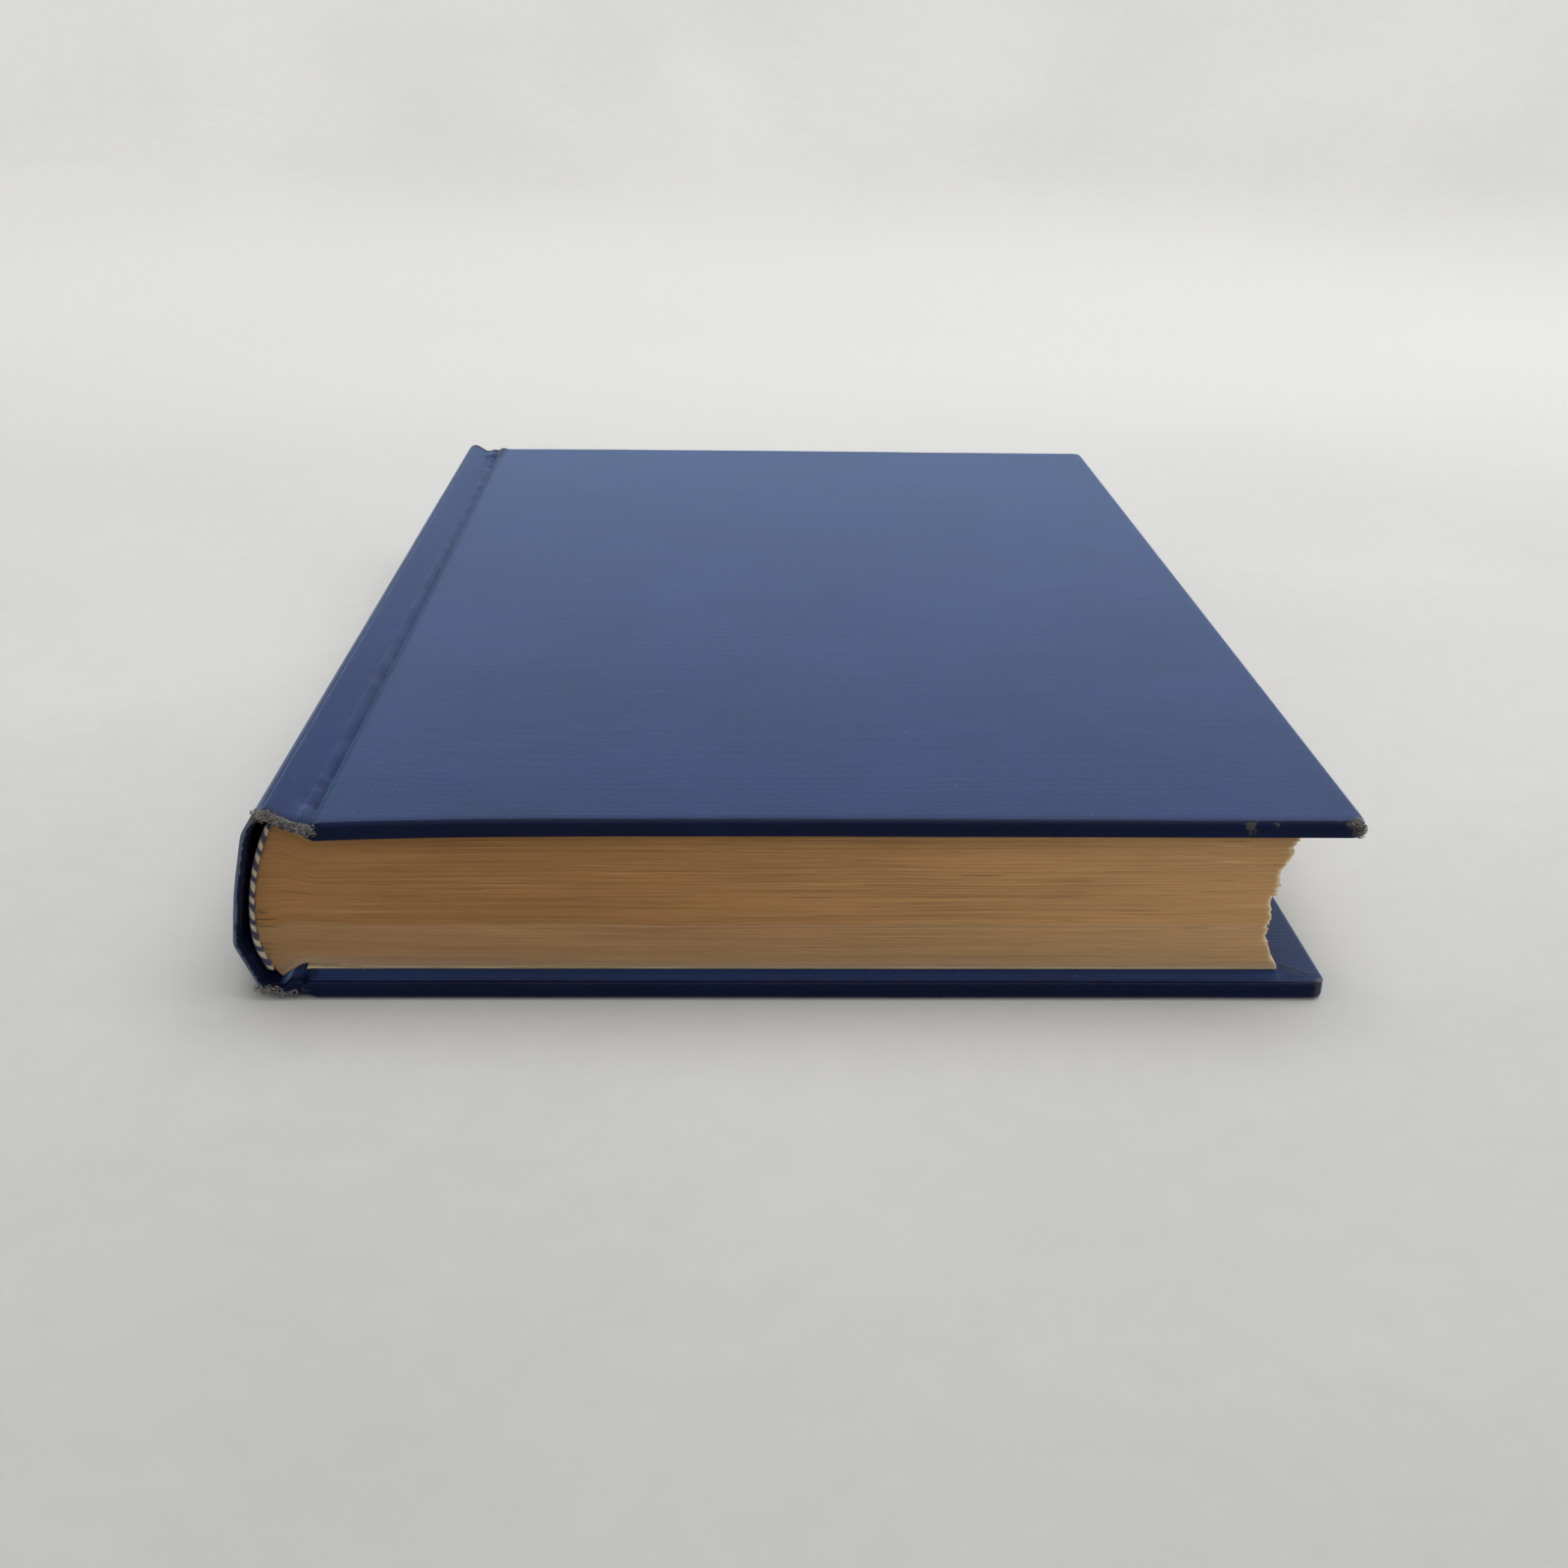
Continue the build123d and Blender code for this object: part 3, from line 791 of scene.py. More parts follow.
@dataclass
class Cover:
    """One covered board with its half of the joint."""

    side: Side
    sizes: BookSizes = SIZES
    dip: float = 0.95
    dip_length: float = 18.0

    @property
    def body(self) -> Body:
        """The body that the board belongs to."""
        return Body.FRONT if self.side is Side.FRONT else Body.BACK

    @property
    def edge(self) -> float:
        """X of the board's spine edge."""
        return self.sizes.spine_edge(self.side)

    @property
    def fore(self) -> float:
        """X of the board's fore edge."""
        return self.edge + self.sizes.board_width

    def bow(self, x: Array) -> Array:
        """How far the pressed joint pulls the front board down: dip * e^(-x/length) from its spine edge."""
        if self.side is Side.BACK:
            return np.zeros_like(x)
        run = x - self.edge
        return self.dip * np.exp(-np.maximum(run, 0) / self.dip_length) * smooth_step((run + 1.6) / 1.6)

    def height(self, depth: Array) -> Array:
        """Z of a depth under the cover's own outer face."""
        return self.sizes.thickness - depth if self.side is Side.FRONT else depth

    def upright(self, line: Array) -> Array:
        """A line of X and depth, as X and Z."""
        return np.stack([line[:, 0], self.height(line[:, 1])], axis=1)

    def ridge(self) -> Array:
        """X and depth of the cloth from the crest of the ridge to the bottom of the groove."""
        line, top, bottom = spine_line(0.35)
        if self.side is Side.FRONT:
            return self.upright(line[: top + 1][::-1])
        return line[bottom:]

    def lines(self) -> tuple[Array, ...]:
        """The outer and the inner face, then the inner and the outer one at the cover's two ends.

        Each is a line of X and depth from the ridge's crest to the fore edge's rim. At the ends the
        turned-in cloth and the bunched joint fill the groove, so the inner face there sinks smoothly
        to the board's.
        """
        edge, front = self.edge, self.side is Side.FRONT
        ridge = self.ridge()
        groove = ridge[-1, 1]
        far = self.fore - self.sizes.corner_round
        climb = [(edge - 1.5, groove), (edge - 0.35, groove), (edge + 0.75, 0.0), (edge + 3.2, 0.0)]
        rise = rounded_line(climb, [0.6, 2.0], 0.2)
        coarse, fine = np.arange(edge + 4.6, far - 15.0, 1.8), np.arange(far - 14.5, far - 0.3, 0.55)
        flat = grid(np.concatenate([coarse, fine, [far]]), 0.0)
        x, z = np.concatenate([ridge, rise[rise[:, 0] > ridge[-1, 0] + 0.1], flat]).T
        z = z + self.bow(x)
        joint = x < edge - 0.25
        thin, bulk = 0.45, 0.95
        board = self.sizes.cover_depth + self.bow(x) - 0.35 * smooth_step((edge + 0.7 - x) / 0.9)
        start = x[0] + (0.8 if front else 0.1)
        fill = smooth_step((x - start) / (edge - 0.6 - start))
        bunched = (z + bulk) * (1 - fill) + np.maximum(board, z + bulk) * fill
        level = z - (z - self.bow(x)) * (0.25 if front else 0.78) * bell(x - edge + 1.2, 1.9, 4)
        faces = (z, np.where(joint, z + thin, board), np.where(joint, bunched, board), level)
        return tuple(grid(x, face) for face in faces)

    def lift(self, x: Array, y: Array) -> Array:
        """How far the cloth stands out: low swellings over the board and puckers along the groove.

        Towards the head the front board lies flatter and its groove is fuller.
        """
        from_groove = x - self.edge + 0.6
        swell = 0.05 * lattice_noise(3, x, y, (31.0, 44.0)) + 0.02 * lattice_noise(4, x, y, (9.0, 13.0))
        groove = bell(from_groove, 1.5)
        pucker = 0.14 * lattice_noise(5, x, y, (1.6, 2.2)) + 0.10 * lattice_noise(6, x, y, (1.0, 5.0))
        inside = smooth_step((x - self.edge + 4.0) / 3.0) * smooth_step((self.fore - x) / 4.0)
        raised = 0.0 * x
        if self.side is Side.FRONT:
            filled = bell(from_groove, 1.9, 4) * bell(self.sizes.height / 2 - y, 9.0)
            raised = 0.75 * self.bow(x) * smooth_step((y + 20.0) / 120.0) + 0.7 * filled
        return raised - np.abs(swell) * inside + groove * pucker * 0.8 - 0.05 * groove

    def build(self, finishes: Finishes) -> list[bpy.types.Object]:
        """Makes the cloth-covered board, and the front board's own bowed core.

        Returns:
            The finished pieces.
        """
        s, edge = self.sizes, self.edge
        lines = self.lines()
        along = run_along(lines[0])
        half = s.height / 2 - s.corner_round
        ends = np.arange(0.55, 15.5, 0.55)
        middle = np.linspace(-half + 17, half - 17, 96)
        ys = np.concatenate([[-half], -half + ends, middle, (half - ends)[::-1], [half]])
        outer, inner, end_inner, end_outer = (self.upright(line) for line in lines)
        patches, share = shell(outer, inner, ys, Rim(s.corner_round, s.edge_round), True, self.lift, along,
                               end_inner, end_outer)
        for patch, inside in zip(patches, (False, True)):
            self.wear_and_shade(patch, share, inside)
        cloth = make_piece(f"{self.side.value}_cover_cloth", patches, weld=0.004)
        finishes.fit(cloth, "bookcloth", f"{self.side.value}_cloth")
        level = float(self.height(np.array(0.5)))
        tuple(s.place((edge - 4.3, 0, level)))
        tuple(s.place((edge - 0.1, 0, level)))
        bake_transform(cloth)
        if self.side is Side.BACK:
            return [cloth]
        keep = lines[0][:, 0] > edge + 1.6
        core = [line[keep] + (0, d) for line, d in zip(lines, (0.35, -0.3))]
        inset = [grid(0.32 * smooth_step((line[:, 0] - edge - 3.0) / 20.0), 0.0) for line in core]
        core = [self.upright(line - shorter) for line, shorter in zip(core, inset)]
        rows, rim = np.linspace(-half + 0.3, half - 0.3, 60), Rim(s.corner_round - 0.3, 0.4, 4)
        parts, _ = shell(*core, rows, rim, True, lambda x, y: 0.0 * x, along[keep])
        board = make_piece("front_cover_board", parts, weld=0.004)
        finishes.fit(board, "board", "front_board")
        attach(board, self.body.value)
        return [cloth, board]

    def wear_and_shade(self, patch: Patch, share: Array, inside: bool) -> None:
        """Fills a patch's layers of rubbing, worn places and painted shade, and raises the flap of the corner
        folds on the inner one.

        Args:
            patch: the outer or the inner patch of the shell.
            share: how near each point is to an edge.
            inside: whether it is the inner patch.
        """
        x, y, z = (patch.points[..., axis] for axis in range(3))
        past = self.sizes.height / 2 - self.sizes.edge_round * 0.7 - np.abs(y)
        # Painted shade: the board's end faces, the rise at its spine edge, the side of the ridge and the ends
        # of the joint are darkened and lose their sheen.
        joint_end = bell(past, 1.6) * smooth_step((self.edge + 0.6 - x) / 0.8)
        dull = (0.92 * smooth_step((0.22 - past) / 0.18) + 0.72 * bell(x - self.edge - 0.35, 0.85)
                + 0.5 * smooth_step((1.9 - x) / 1.6) + 0.9 * joint_end)
        patch.layers = {"rub": self.rubbed(x, y, share), "bare": self.bared(x, y, z)}
        if inside:
            # The mitre fold is painted shadow under the flap, in the crease colour and the plain dark shader.
            fold, step = self.mitre(x, y)
            patch.layers |= {"crease": fold, "dull": dull + 0.95 * fold}
            patch.points[..., 2] += step * (-1 if self.side is Side.FRONT else 1)
        else:
            patch.layers |= {"crease": self.joint_shade(x, y), "dull": dull}

    def rubbed(self, x: Array, y: Array, share: Array) -> Array:
        """0..1: rubbed paler along the arrises, the ridge and the board's edge at the joint."""
        uneven = 0.5 + 0.5 * lattice_noise(8, x, y, (6.0, 6.0))
        arris = bell(share - 0.45, 0.22) * (share > 0)
        ridge = bell(x - 1.4, 1.2) * (x < self.edge)
        step = bell(x - self.edge - 0.8, 0.9) * 0.3
        return np.clip(0.34 * arris * uneven + 0.18 * ridge * uneven + 0.10 * step * uneven, 0, 1)

    def mitre(self, x: Array, y: Array) -> tuple[Array, Array]:
        """The fold where two turn-ins cross, on the line from the corner at about 45 degrees.

        Returns:
            How much painted shadow lies along the fold, 0..1, and how far the flap on top stands up beside
            it.
        """
        a, b = self.fore - x, self.sizes.from_end(y)
        reach = smooth_step((5.8 - a) / 1.2) * smooth_step((a - 1.2) / 1.0) * smooth_step((b - 1.2) / 1.0)
        across = a - b * 0.92 - 0.2 + 0.25 * np.sin(a * 0.9)
        flap = smooth_step((across + 0.3) / 0.5) * smooth_step((8.0 - across) / 7.0)
        return bell(across - 0.05, 0.55) * reach, 0.12 * flap * reach

    def joint_shade(self, x: Array, y: Array) -> Array:
        """0..1: painted shade, a thin dark line now and then broken, where the cloth dips beside the board.
        """
        path = self.edge - 0.35 + 0.22 * line_noise(15, y, 7.0) + 0.12 * line_noise(16, y, 1.7)
        return 0.30 * bell(x - path, 0.45) * np.clip(0.45 + 0.55 * line_noise(17, y, 3.1), 0, 1)

    def bared(self, x: Array, y: Array, z: Array) -> Array:
        """0..1: worn through at the fore-edge corners, at the ends of the joint and in a few nicks.

        The front cover has a worn place near its tail corner and nicks along that edge, and the back
        cover has a worn place at the foot of its joint.
        """
        end = self.sizes.from_end(y)
        front = self.side is Side.FRONT
        tip = bell(np.hypot(np.maximum(self.fore - x, 0), np.maximum(end, 0)), 2.9 if front else 2.2)
        ragged = 0.55 + 0.45 * lattice_noise(9, x, z, (0.5, 0.35))
        joint = bell(end, 1.1) * smooth_step((self.edge + 0.8 - x) / 1.2)
        if not front:
            joint = joint * 0.25 + 0.55 * bell(end, 0.9) * bell(x - 6.0, 3.2) * (z < 1.5) * ragged
            return np.clip(0.8 * tip + joint, 0, 1)
        spot = 1.2 * bell(x - 130.6, 1.1, 4) * bell(end, 1.2) * (y < 0) * ragged
        nicks = 0.8 * smooth_step((lattice_noise(10, x, end, (0.7, 0.2)) - 0.30) / 0.35)
        nicks = nicks * (end < 0.5) * (z > 26.1) * smooth_step((x - 112) / 16) * (y < 0)
        return np.clip(0.75 * tip + 0.9 * joint + 0.75 * spot + nicks, 0, 1)


@dataclass
class Spine:
    """The cloth spine between the two ridges, stiffened by its inlay and turned in at both ends."""

    sizes: BookSizes = SIZES
    wall: float = 1.0
    end_reach: float = 0.9

    def build(self, finishes: Finishes) -> list[bpy.types.Object]:
        """Makes the spine's shell: its line offset inwards by the wall, closed at both ends."""
        line, top, bottom = spine_line(0.5)
        outer = line[top: bottom + 1]
        half = self.sizes.height / 2 - self.end_reach
        patches, _ = shell(outer, outer - outward(outer) * self.wall, np.linspace(-half, half, 170),
                           Rim(self.end_reach, 0.5), False, self.lift, run_along(outer))
        for patch, inside in zip(patches, (False, True)):
            _, y, z = (patch.points[..., axis] for axis in range(3))
            end = self.sizes.from_end(y)
            uneven = 0.5 + 0.5 * lattice_noise(11, z, y, (3.0, 5.0))
            ridges = bell(z - 27.2, 0.8) + bell(z - 0.7, 0.9)
            rub = (0.5 * bell(end, 2.4) * uneven + 1.5 * bell(end, 1.5) * (0.55 + 0.45 * uneven)
                   + 0.4 * ridges * uneven + 0.12)
            # Painted shade: dark crease lines near both ends, and the plain dark shader over the whole inner
            # wall and partly over the outer face.
            patch.layers = {
                "rub": np.clip(rub, 0, 1.4) * (0.15 if inside else 1),
                "crease": 0.8 * bell(line_noise(14, z, 1.9) - 0.1, 0.05) * bell(end, 2.5),
                "dull": np.full_like(y, 1.0 if inside else 0.6),
                "bare": np.clip(bell(end, 1.3) * (bell(z - 27.4, 1.6) + bell(z - 0.6, 1.6)), 0, 1),
            }
        spine = make_piece("spine_panel", patches, weld=0.004)
        finishes.fit(spine, "bookcloth", "spine_cloth")
        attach(spine, Body.BLOCK.value)
        return [spine]

    def lift(self, x: Array, y: Array) -> Array:
        """Crosswise creases near both ends and faint swellings between."""
        crease = bell(self.sizes.from_end(y), 5.0) * 0.05 * lattice_noise(12, x, y, (3.0, 1.2))
        return crease - 0.04 * np.abs(lattice_noise(13, x, y, (8.0, 16.0)))


# Paper


@dataclass
class TextBlock:
    """The rounded and backed block of sewn sections, leaf by leaf at its fore edge."""

    sizes: BookSizes = SIZES
    leaves: int = 140
    seed: int = 21
    fold_x: float = -3.0
    front_foot: float = 6.35
    back_foot: float = 4.05
    press: float = 0.87
    stain_spots: tuple[tuple[float, float, float, float], ...] = (
        (77.3, 20.9, 1.2, 0.0), (81.5, 20.2, 2.2, 0.7), (82.5, 12.4, 0.9, 0.0), (109.5, 15.2, 1.9, 0.8),
        (33.0, 13.0, 1.6, 0.0))

    @property
    def span(self) -> float:
        """Thickness of the flat part of the block."""
        return self.sizes.thickness - 2 * self.sizes.block_level

    def levels(self) -> tuple[Array, Array]:
        """Two places through the thickness for each modelled leaf, its faces, and that leaf's number."""
        leaf = np.repeat(np.arange(self.leaves), 2)
        w = (leaf + np.tile([0.03, 0.97], self.leaves)) / self.leaves
        w[0], w[-1] = 0.0, 1.0
        return w, leaf

    def face(self, x: Array, top: bool) -> Array:
        """Z of the block's upper or lower face at X.

        From the foot of the shoulder the face runs straight to the shoulder's tip, and beyond it the
        pressed joint's dip dies away as dip * e^(-run/length).

        Args:
            x: X in millimetres.
            top: whether it is the upper face.

        Returns:
            Z for each X.
        """
        s = self.sizes
        tip, foot, flat, sign, length = (
            (s.front_tip, self.front_foot, s.thickness - s.block_level, -1.0, 18.0) if top
            else (s.back_tip, self.back_foot, s.block_level, 1.0, 5.0))
        run = x - foot
        dipped = flat + sign * self.press * np.exp(-np.maximum(run, 0) / length)
        slope = (tip[1] - (flat + sign * self.press)) / (tip[0] - foot)
        soft = 0.5 * np.exp(-np.abs(run) / 0.5) * (-sign) * 0.35
        return dipped + slope * np.clip(run, tip[0] - foot, 0) + soft

    def leaf_z(self, x: Array, w: Array) -> Array:
        """Z of leaf w (0..1 upwards) at X: its own level, waving a little inside the block.

        What the upper face departs from its level is added as w^2.5, and the lower face's as (1 - w)^2.5.
        """
        s = self.sizes
        low, high = s.block_level, s.thickness - s.block_level
        flat = low + (high - low) * w + 0.85 * w * (1 - w) * lattice_noise(25, x, w * 7.0, (21.0, 1.0))
        return flat + (self.face(x, True) - high) * w**2.5 + (self.face(x, False) - low) * (1 - w) ** 2.5

    def back(self, w: Array) -> tuple[Array, Array]:
        """X and Z of the fold side of leaf w, with a furrow between sections."""
        z = self.leaf_z(np.full_like(w, self.fold_x), w)
        phase = np.abs(((w * self.sizes.sections) % 1.0) - 0.5) * 2
        furrow = 0.05 + 0.26 * phase**3
        return self.sizes.back_x(z) + furrow * (0.25 + 0.75 * (4 * w * (1 - w)) ** 0.3), z

    def fore(self, w: Array, leaf: Array, y: Array) -> Array:
        """X of the fore edge of leaf w at Y: equal leaves, section shifts and each leaf's own deckle."""
        s = self.sizes
        level = s.block_level + ((s.thickness - s.block_level) - s.block_level) * w
        rng = np.random.default_rng(self.seed)
        section = np.minimum((w * s.sections).astype(int), s.sections - 1)
        shifts = rng.uniform(-0.28, 0.22, s.sections)
        own = rng.uniform(-1, 1, self.leaves) ** 5 * 0.30
        wave = 0.22 * lattice_noise(23, leaf[:, None] * 0.17, y[None, :], (1.0, 17.0))
        tear = 0.07 * lattice_noise(24, leaf[:, None] * 1.9, y[None, :], (1.0, 3.1))
        return (s.back_x(level) + s.leaf_width + shifts[section] + own[leaf])[:, None] + wave + tear

    def leaf_grid(self, u: Array, w: Array, fore_x: Array, back: tuple[Array, Array]) -> tuple[Array, Array]:
        """X and Z at shares u of the way from the fold to the fore edge, starting on the fold itself."""
        back_x, back_z = back
        x = back_x + (fore_x - back_x) * u
        return x, np.where(u == 0, back_z, self.leaf_z(np.where(u == 0, self.fold_x, x), w + 0 * x))

    def build(self, finishes: Finishes) -> list[bpy.types.Object]:
        """Makes the block from its four edges and two faces."""
        s = self.sizes
        w, leaf = self.levels()
        half = s.block_height / 2
        ys = np.concatenate([[-half], np.linspace(-half + 0.8, half - 0.8, 44), [half]])
        fore_x = self.fore(w, leaf, ys)
        back_x, back_z = self.back(w)
        near, across = np.linspace(0, 0.12, 26), np.linspace(0.15, 0.97, 20)
        u = np.concatenate([near, across, [0.985, 0.9945, 0.9972, 1.0]])[:, None]
        patches = []
        for column, y, flip in ((0, -half, False), (-1, half, True)):
            x, z = self.leaf_grid(u, w[None, :], fore_x[:, column], (back_x, back_z))
            layers = self.stains_and_shade(u, w, x, z, x - back_x, y)
            patches.append(Patch(grid(x, y, z), grid(x, w * self.span), layers, flip))
        grid_w, grid_y = np.broadcast_arrays(w[:, None], ys[None, :])
        along = grid(grid_y, grid_w * self.span)
        fore_z = self.leaf_z(fore_x, grid_w)
        tips = {"pale": np.full_like(fore_z, 0.5), "lip": np.full_like(fore_z, 0.75)}
        patches.append(Patch(grid(fore_x, grid_y, fore_z), along, tips, True))
        folds = grid(back_x[:, None], grid_y, back_z[:, None])
        # The backs of the folds get a little painted shade.
        patches.append(Patch(folds, along, {"gap": np.full(grid_w.shape, 0.2)}))
        for index, flip in ((0, False), (-1, True)):
            x, z = self.leaf_grid(u, w[index], fore_x[index], (back_x[index], back_z[index]))
            patches.append(Patch(grid(x, ys, z), grid(x, ys), {"pale": 1.0 + 0 * x}, flip))
        block = make_piece("text_block_leaves", patches, weld=0.002, shade_smooth=False)
        finishes.fit(block, "pages", "text_block")
        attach(block, Body.BLOCK.value)
        return [block]

    def stains_and_shade(self, u: Array, w: Array, x: Array, z: Array, run: Array, y: float) -> dict[str, Array]:
        """The layers of a trimmed end: painted shade near the fold and between sections, a paler, greyer
        lower band, stains and pale edges.

        Args:
            u: share of the way from the fold to the fore edge.
            w: share of the way up through the leaves.
            x: X of each point.
            z: Z of each point.
            run: distance from the fold.
            y: Y of the end.

        Returns:
            Each layer by its name.
        """
        edge = np.minimum(w, 1 - w)[None, :] + 0 * x
        # A paler, greyer band over the lowest third of the leaves, stronger on the lowest leaves.
        band = 0.85 * smooth_step((0.345 - w) / 0.035) * (0.60 + 0.25 * lattice_noise(31, x, z, (40.0, 2.0)))
        lowest = 0.35 * smooth_step((0.07 - w) / 0.05)[None, :]
        lip = smooth_step((u - 0.9965) / 0.003) + 0.95 * bell(edge, 0.008) * smooth_step((x - 7.0) / 4.0)
        return {
            # Painted shade near the fold and in the gaps between sections.
            "gap": np.exp(-(run / 0.9)) * 0.45 + self.strokes(run, w),
            "pale": smooth_step((x - 118.0) / 16.0) + 0.12,
            "grime": band * (1 - 0.4 * smooth_step((w - 0.02) / 0.1)) + lowest,
            "stain": self.stains(x, z) * (1.0 if y < 0 else 0.3),
            "lip": np.clip(lip, 0, 1),
        }

    def strokes(self, run: Array, w: Array) -> Array:
        """Painted shade in the gaps between the folded sections: short dark strokes, open at the back and
        closed some millimetres in.
        """
        rng = np.random.default_rng(self.seed + 1)
        length = np.repeat(rng.uniform(0.3, 2.6, self.leaves) * (rng.uniform(0, 1, self.leaves) > 0.80), 2)
        length = length * (0.5 + 0.8 * smooth_step((0.60 - w) / 0.2))
        return 2.0 * smooth_step((length[None, :] - run) / 1.2) * (length[None, :] > 0)

    def stains(self, x: Array, z: Array) -> Array:
        """Faint round stains on the trimmed edge: soft discs, two of them darker at the rim."""
        total = np.zeros_like(x)
        for spot_x, spot_z, radius, ring in self.stain_spots:
            d = np.hypot((x - spot_x) / 1.15, z - spot_z) / radius
            disc = smooth_step((1.15 - d) / 0.4)
            total += disc * (1 - ring) * 0.6 + ring * bell(d - 0.9, 0.22) * 0.6 + 0.25 * ring * disc
        return np.clip(total, 0, 1)


@dataclass
class Endpapers:
    """One folded endpaper: a flyleaf on the block, and a pastedown that crosses the hinge to the board."""

    cover: Cover
    block: TextBlock
    sizes: BookSizes = SIZES
    margin: float = 6.0

    @property
    def front(self) -> bool:
        """Whether it is the front endpaper."""
        return self.cover.side is Side.FRONT

    def sheet(self, name: str, line: Array, half: float, wave: float, seed: int) -> bpy.types.Object:
        """A paper sheet of one leaf's thickness along a line, closed round its four edges.

        Args:
            name: its piece's name, after the side.
            line: X and Z of its face, from the fold outwards.
            half: half its height along Y.
            wave: how far the paper cockles.
            seed: which cockles.

        Returns:
            The piece.
        """
        line = line[::-1] if self.front else line
        normal = outward(line)
        x, y = np.broadcast_arrays(line[:, :1], np.linspace(-half, half, 40)[None, :])
        cockle = wave * lattice_noise(seed, x, y, (38.0, 52.0)) * smooth_step((x - 14.0) / 20.0)
        near = grid(x, y, line[:, 1:] + cockle)
        far = near + grid(normal[:, 0], 0 * normal[:, 0], normal[:, 1])[:, None, :] * self.sizes.leaf
        patches = [Patch(near, grid(x, y)), Patch(far, grid(x, y), flip=True)]
        for a, b in ((near[:, :1], far[:, :1]), (far[:, -1:], near[:, -1:])):
            patches.append(Patch(np.concatenate([a, b], axis=1), flip=True))
        for a, b in ((near[:1], far[:1]), (far[-1:], near[-1:])):
            patches.append(Patch(np.concatenate([a, b], axis=0)))
        return make_piece(f"{self.cover.side.value}_{name}_sheet", patches, weld=0.002)

    def build(self, finishes: Finishes) -> list[bpy.types.Object]:
        """Makes the flyleaf and the pastedown."""
        s, side, edge = self.sizes, self.cover.side, self.cover.edge
        sign = 1.0 if self.front else -1.0
        tip = s.front_tip if self.front else s.back_tip
        foot = edge - 0.65
        foot_z = float(self.block.face(np.array([foot]), self.front)[0])
        direction = np.array([foot - tip[0], foot_z - tip[1]])
        fold = np.array(tip) + direction / np.linalg.norm(direction) * 1.6 + (0.0, sign * 0.06)
        level = s.thickness - s.block_level if self.front else s.block_level
        end = float(s.back_x(np.array([level]))[0]) + s.leaf_width
        xs = np.concatenate([np.linspace(fold[0], foot + 4, 16), np.linspace(foot + 5, end, 60)])
        leaf_line = grid(xs, self.block.face(xs, self.front) + sign * 0.05)
        leaf = self.sheet("flyleaf", leaf_line, s.block_height / 2 - 0.35, 0.015, 41)
        finishes.fit(leaf, "endpaper", f"{side.value}_flyleaf")
        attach(leaf, Body.BLOCK.value)
        stop = self.cover.fore - self.margin
        board_x = np.concatenate([np.linspace(edge + 0.2, edge + 12, 14), np.linspace(edge + 14, stop, 60)])
        board_z = self.cover.height(s.cover_depth + 0.03 + s.leaf + self.cover.bow(board_x))
        bend = [[fold[0] + 0.03, fold[1] + sign * 0.10],
                [(fold[0] + edge) / 2, fold[1] * 0.55 + board_z[0] * 0.45],
                [edge - 0.7, board_z[0] + sign * 0.12]]
        line = np.concatenate([bend, grid(board_x, board_z)])
        pasted = self.sheet("pastedown", line, s.block_height / 2 - 0.5, 0.0, 43)
        finishes.fit(pasted, "endpaper", f"{side.value}_pastedown")
        at = float(self.cover.height(np.array(0.5)))
        tuple(s.place((fold[0] + 0.25, 0, at)))
        tuple(s.place((edge - 0.4, 0, at)))
        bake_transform(pasted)
        return [leaf, pasted]


@dataclass
class Endband:
    """A cord wrapped in two colours of thread, on a strip glued over the end of the block's back."""

    end: End
    sizes: BookSizes = SIZES
    pitch: float = 2.1
    slant: float = 0.42
    radius: float = 0.36
    thread: float = 0.34
    strip: float = 12.0

    def build(self, finishes: Finishes) -> list[bpy.types.Object]:
        """Makes the wrapped bead and its strip.

        Round the bead at angle a and distance s along it, the radius is r*(1 + 0.1*|cos(pi*(s + k*a)/t)|)
        and a thread is cream where the sine of 2*pi*(s + k*a)/pitch is positive.
        """
        s, sign = self.sizes, self.end.value
        z = np.linspace(s.back_tip[1] + 1.2, s.front_tip[1] - 1.6, 420)
        line = grid(s.back_x(z, 0.15), z)
        run = run_along(line)
        angle = np.linspace(0, 2 * np.pi, 14, endpoint=False)
        phase = run[:, None] + self.slant * angle[None, :]
        taper = np.clip(np.minimum(run, run[-1] - run) / 0.5, 0.25, 1.0) ** 0.5
        swell = 1.0 + 0.22 * smooth_step((10.0 - z) / 7.0)
        r = self.radius * (taper * swell)[:, None] * (1 + 0.10 * np.abs(np.cos(np.pi * phase / self.thread)))
        normal = outward(line)
        bead_x, bead_z = (line[:, axis, None] + normal[:, axis, None] * r * np.cos(angle) for axis in (0, 1))
        bead_y = sign * (s.block_height / 2 + 0.05 + self.radius * 0.9) + r * np.sin(angle)
        wave = np.sin(2 * np.pi * phase / self.pitch + 0.5 * np.sin(run * 1.7)[:, None])
        cream = (wave > 0.05).astype(float)
        bead = Patch(grid(bead_x, bead_y, bead_z), grid(phase, angle), {"stripe": cream}, ring=True)
        ys = sign * s.block_height / 2 + np.array([0.0, -sign * self.strip])
        band = Patch(grid(s.back_x(z, 0.12)[:, None], ys, z[:, None]), grid(run[:, None], ys),
                     {"stripe": np.full((len(z), 2), 0.2)}, flip=self.end is End.HEAD)
        name = "tailband" if self.end is End.TAIL else "headband"
        piece = make_piece(f"{name}_threads", [bead, band])
        finishes.fit(piece, "endband", name)
        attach(piece, Body.BLOCK.value)
        return [piece]


# Wear


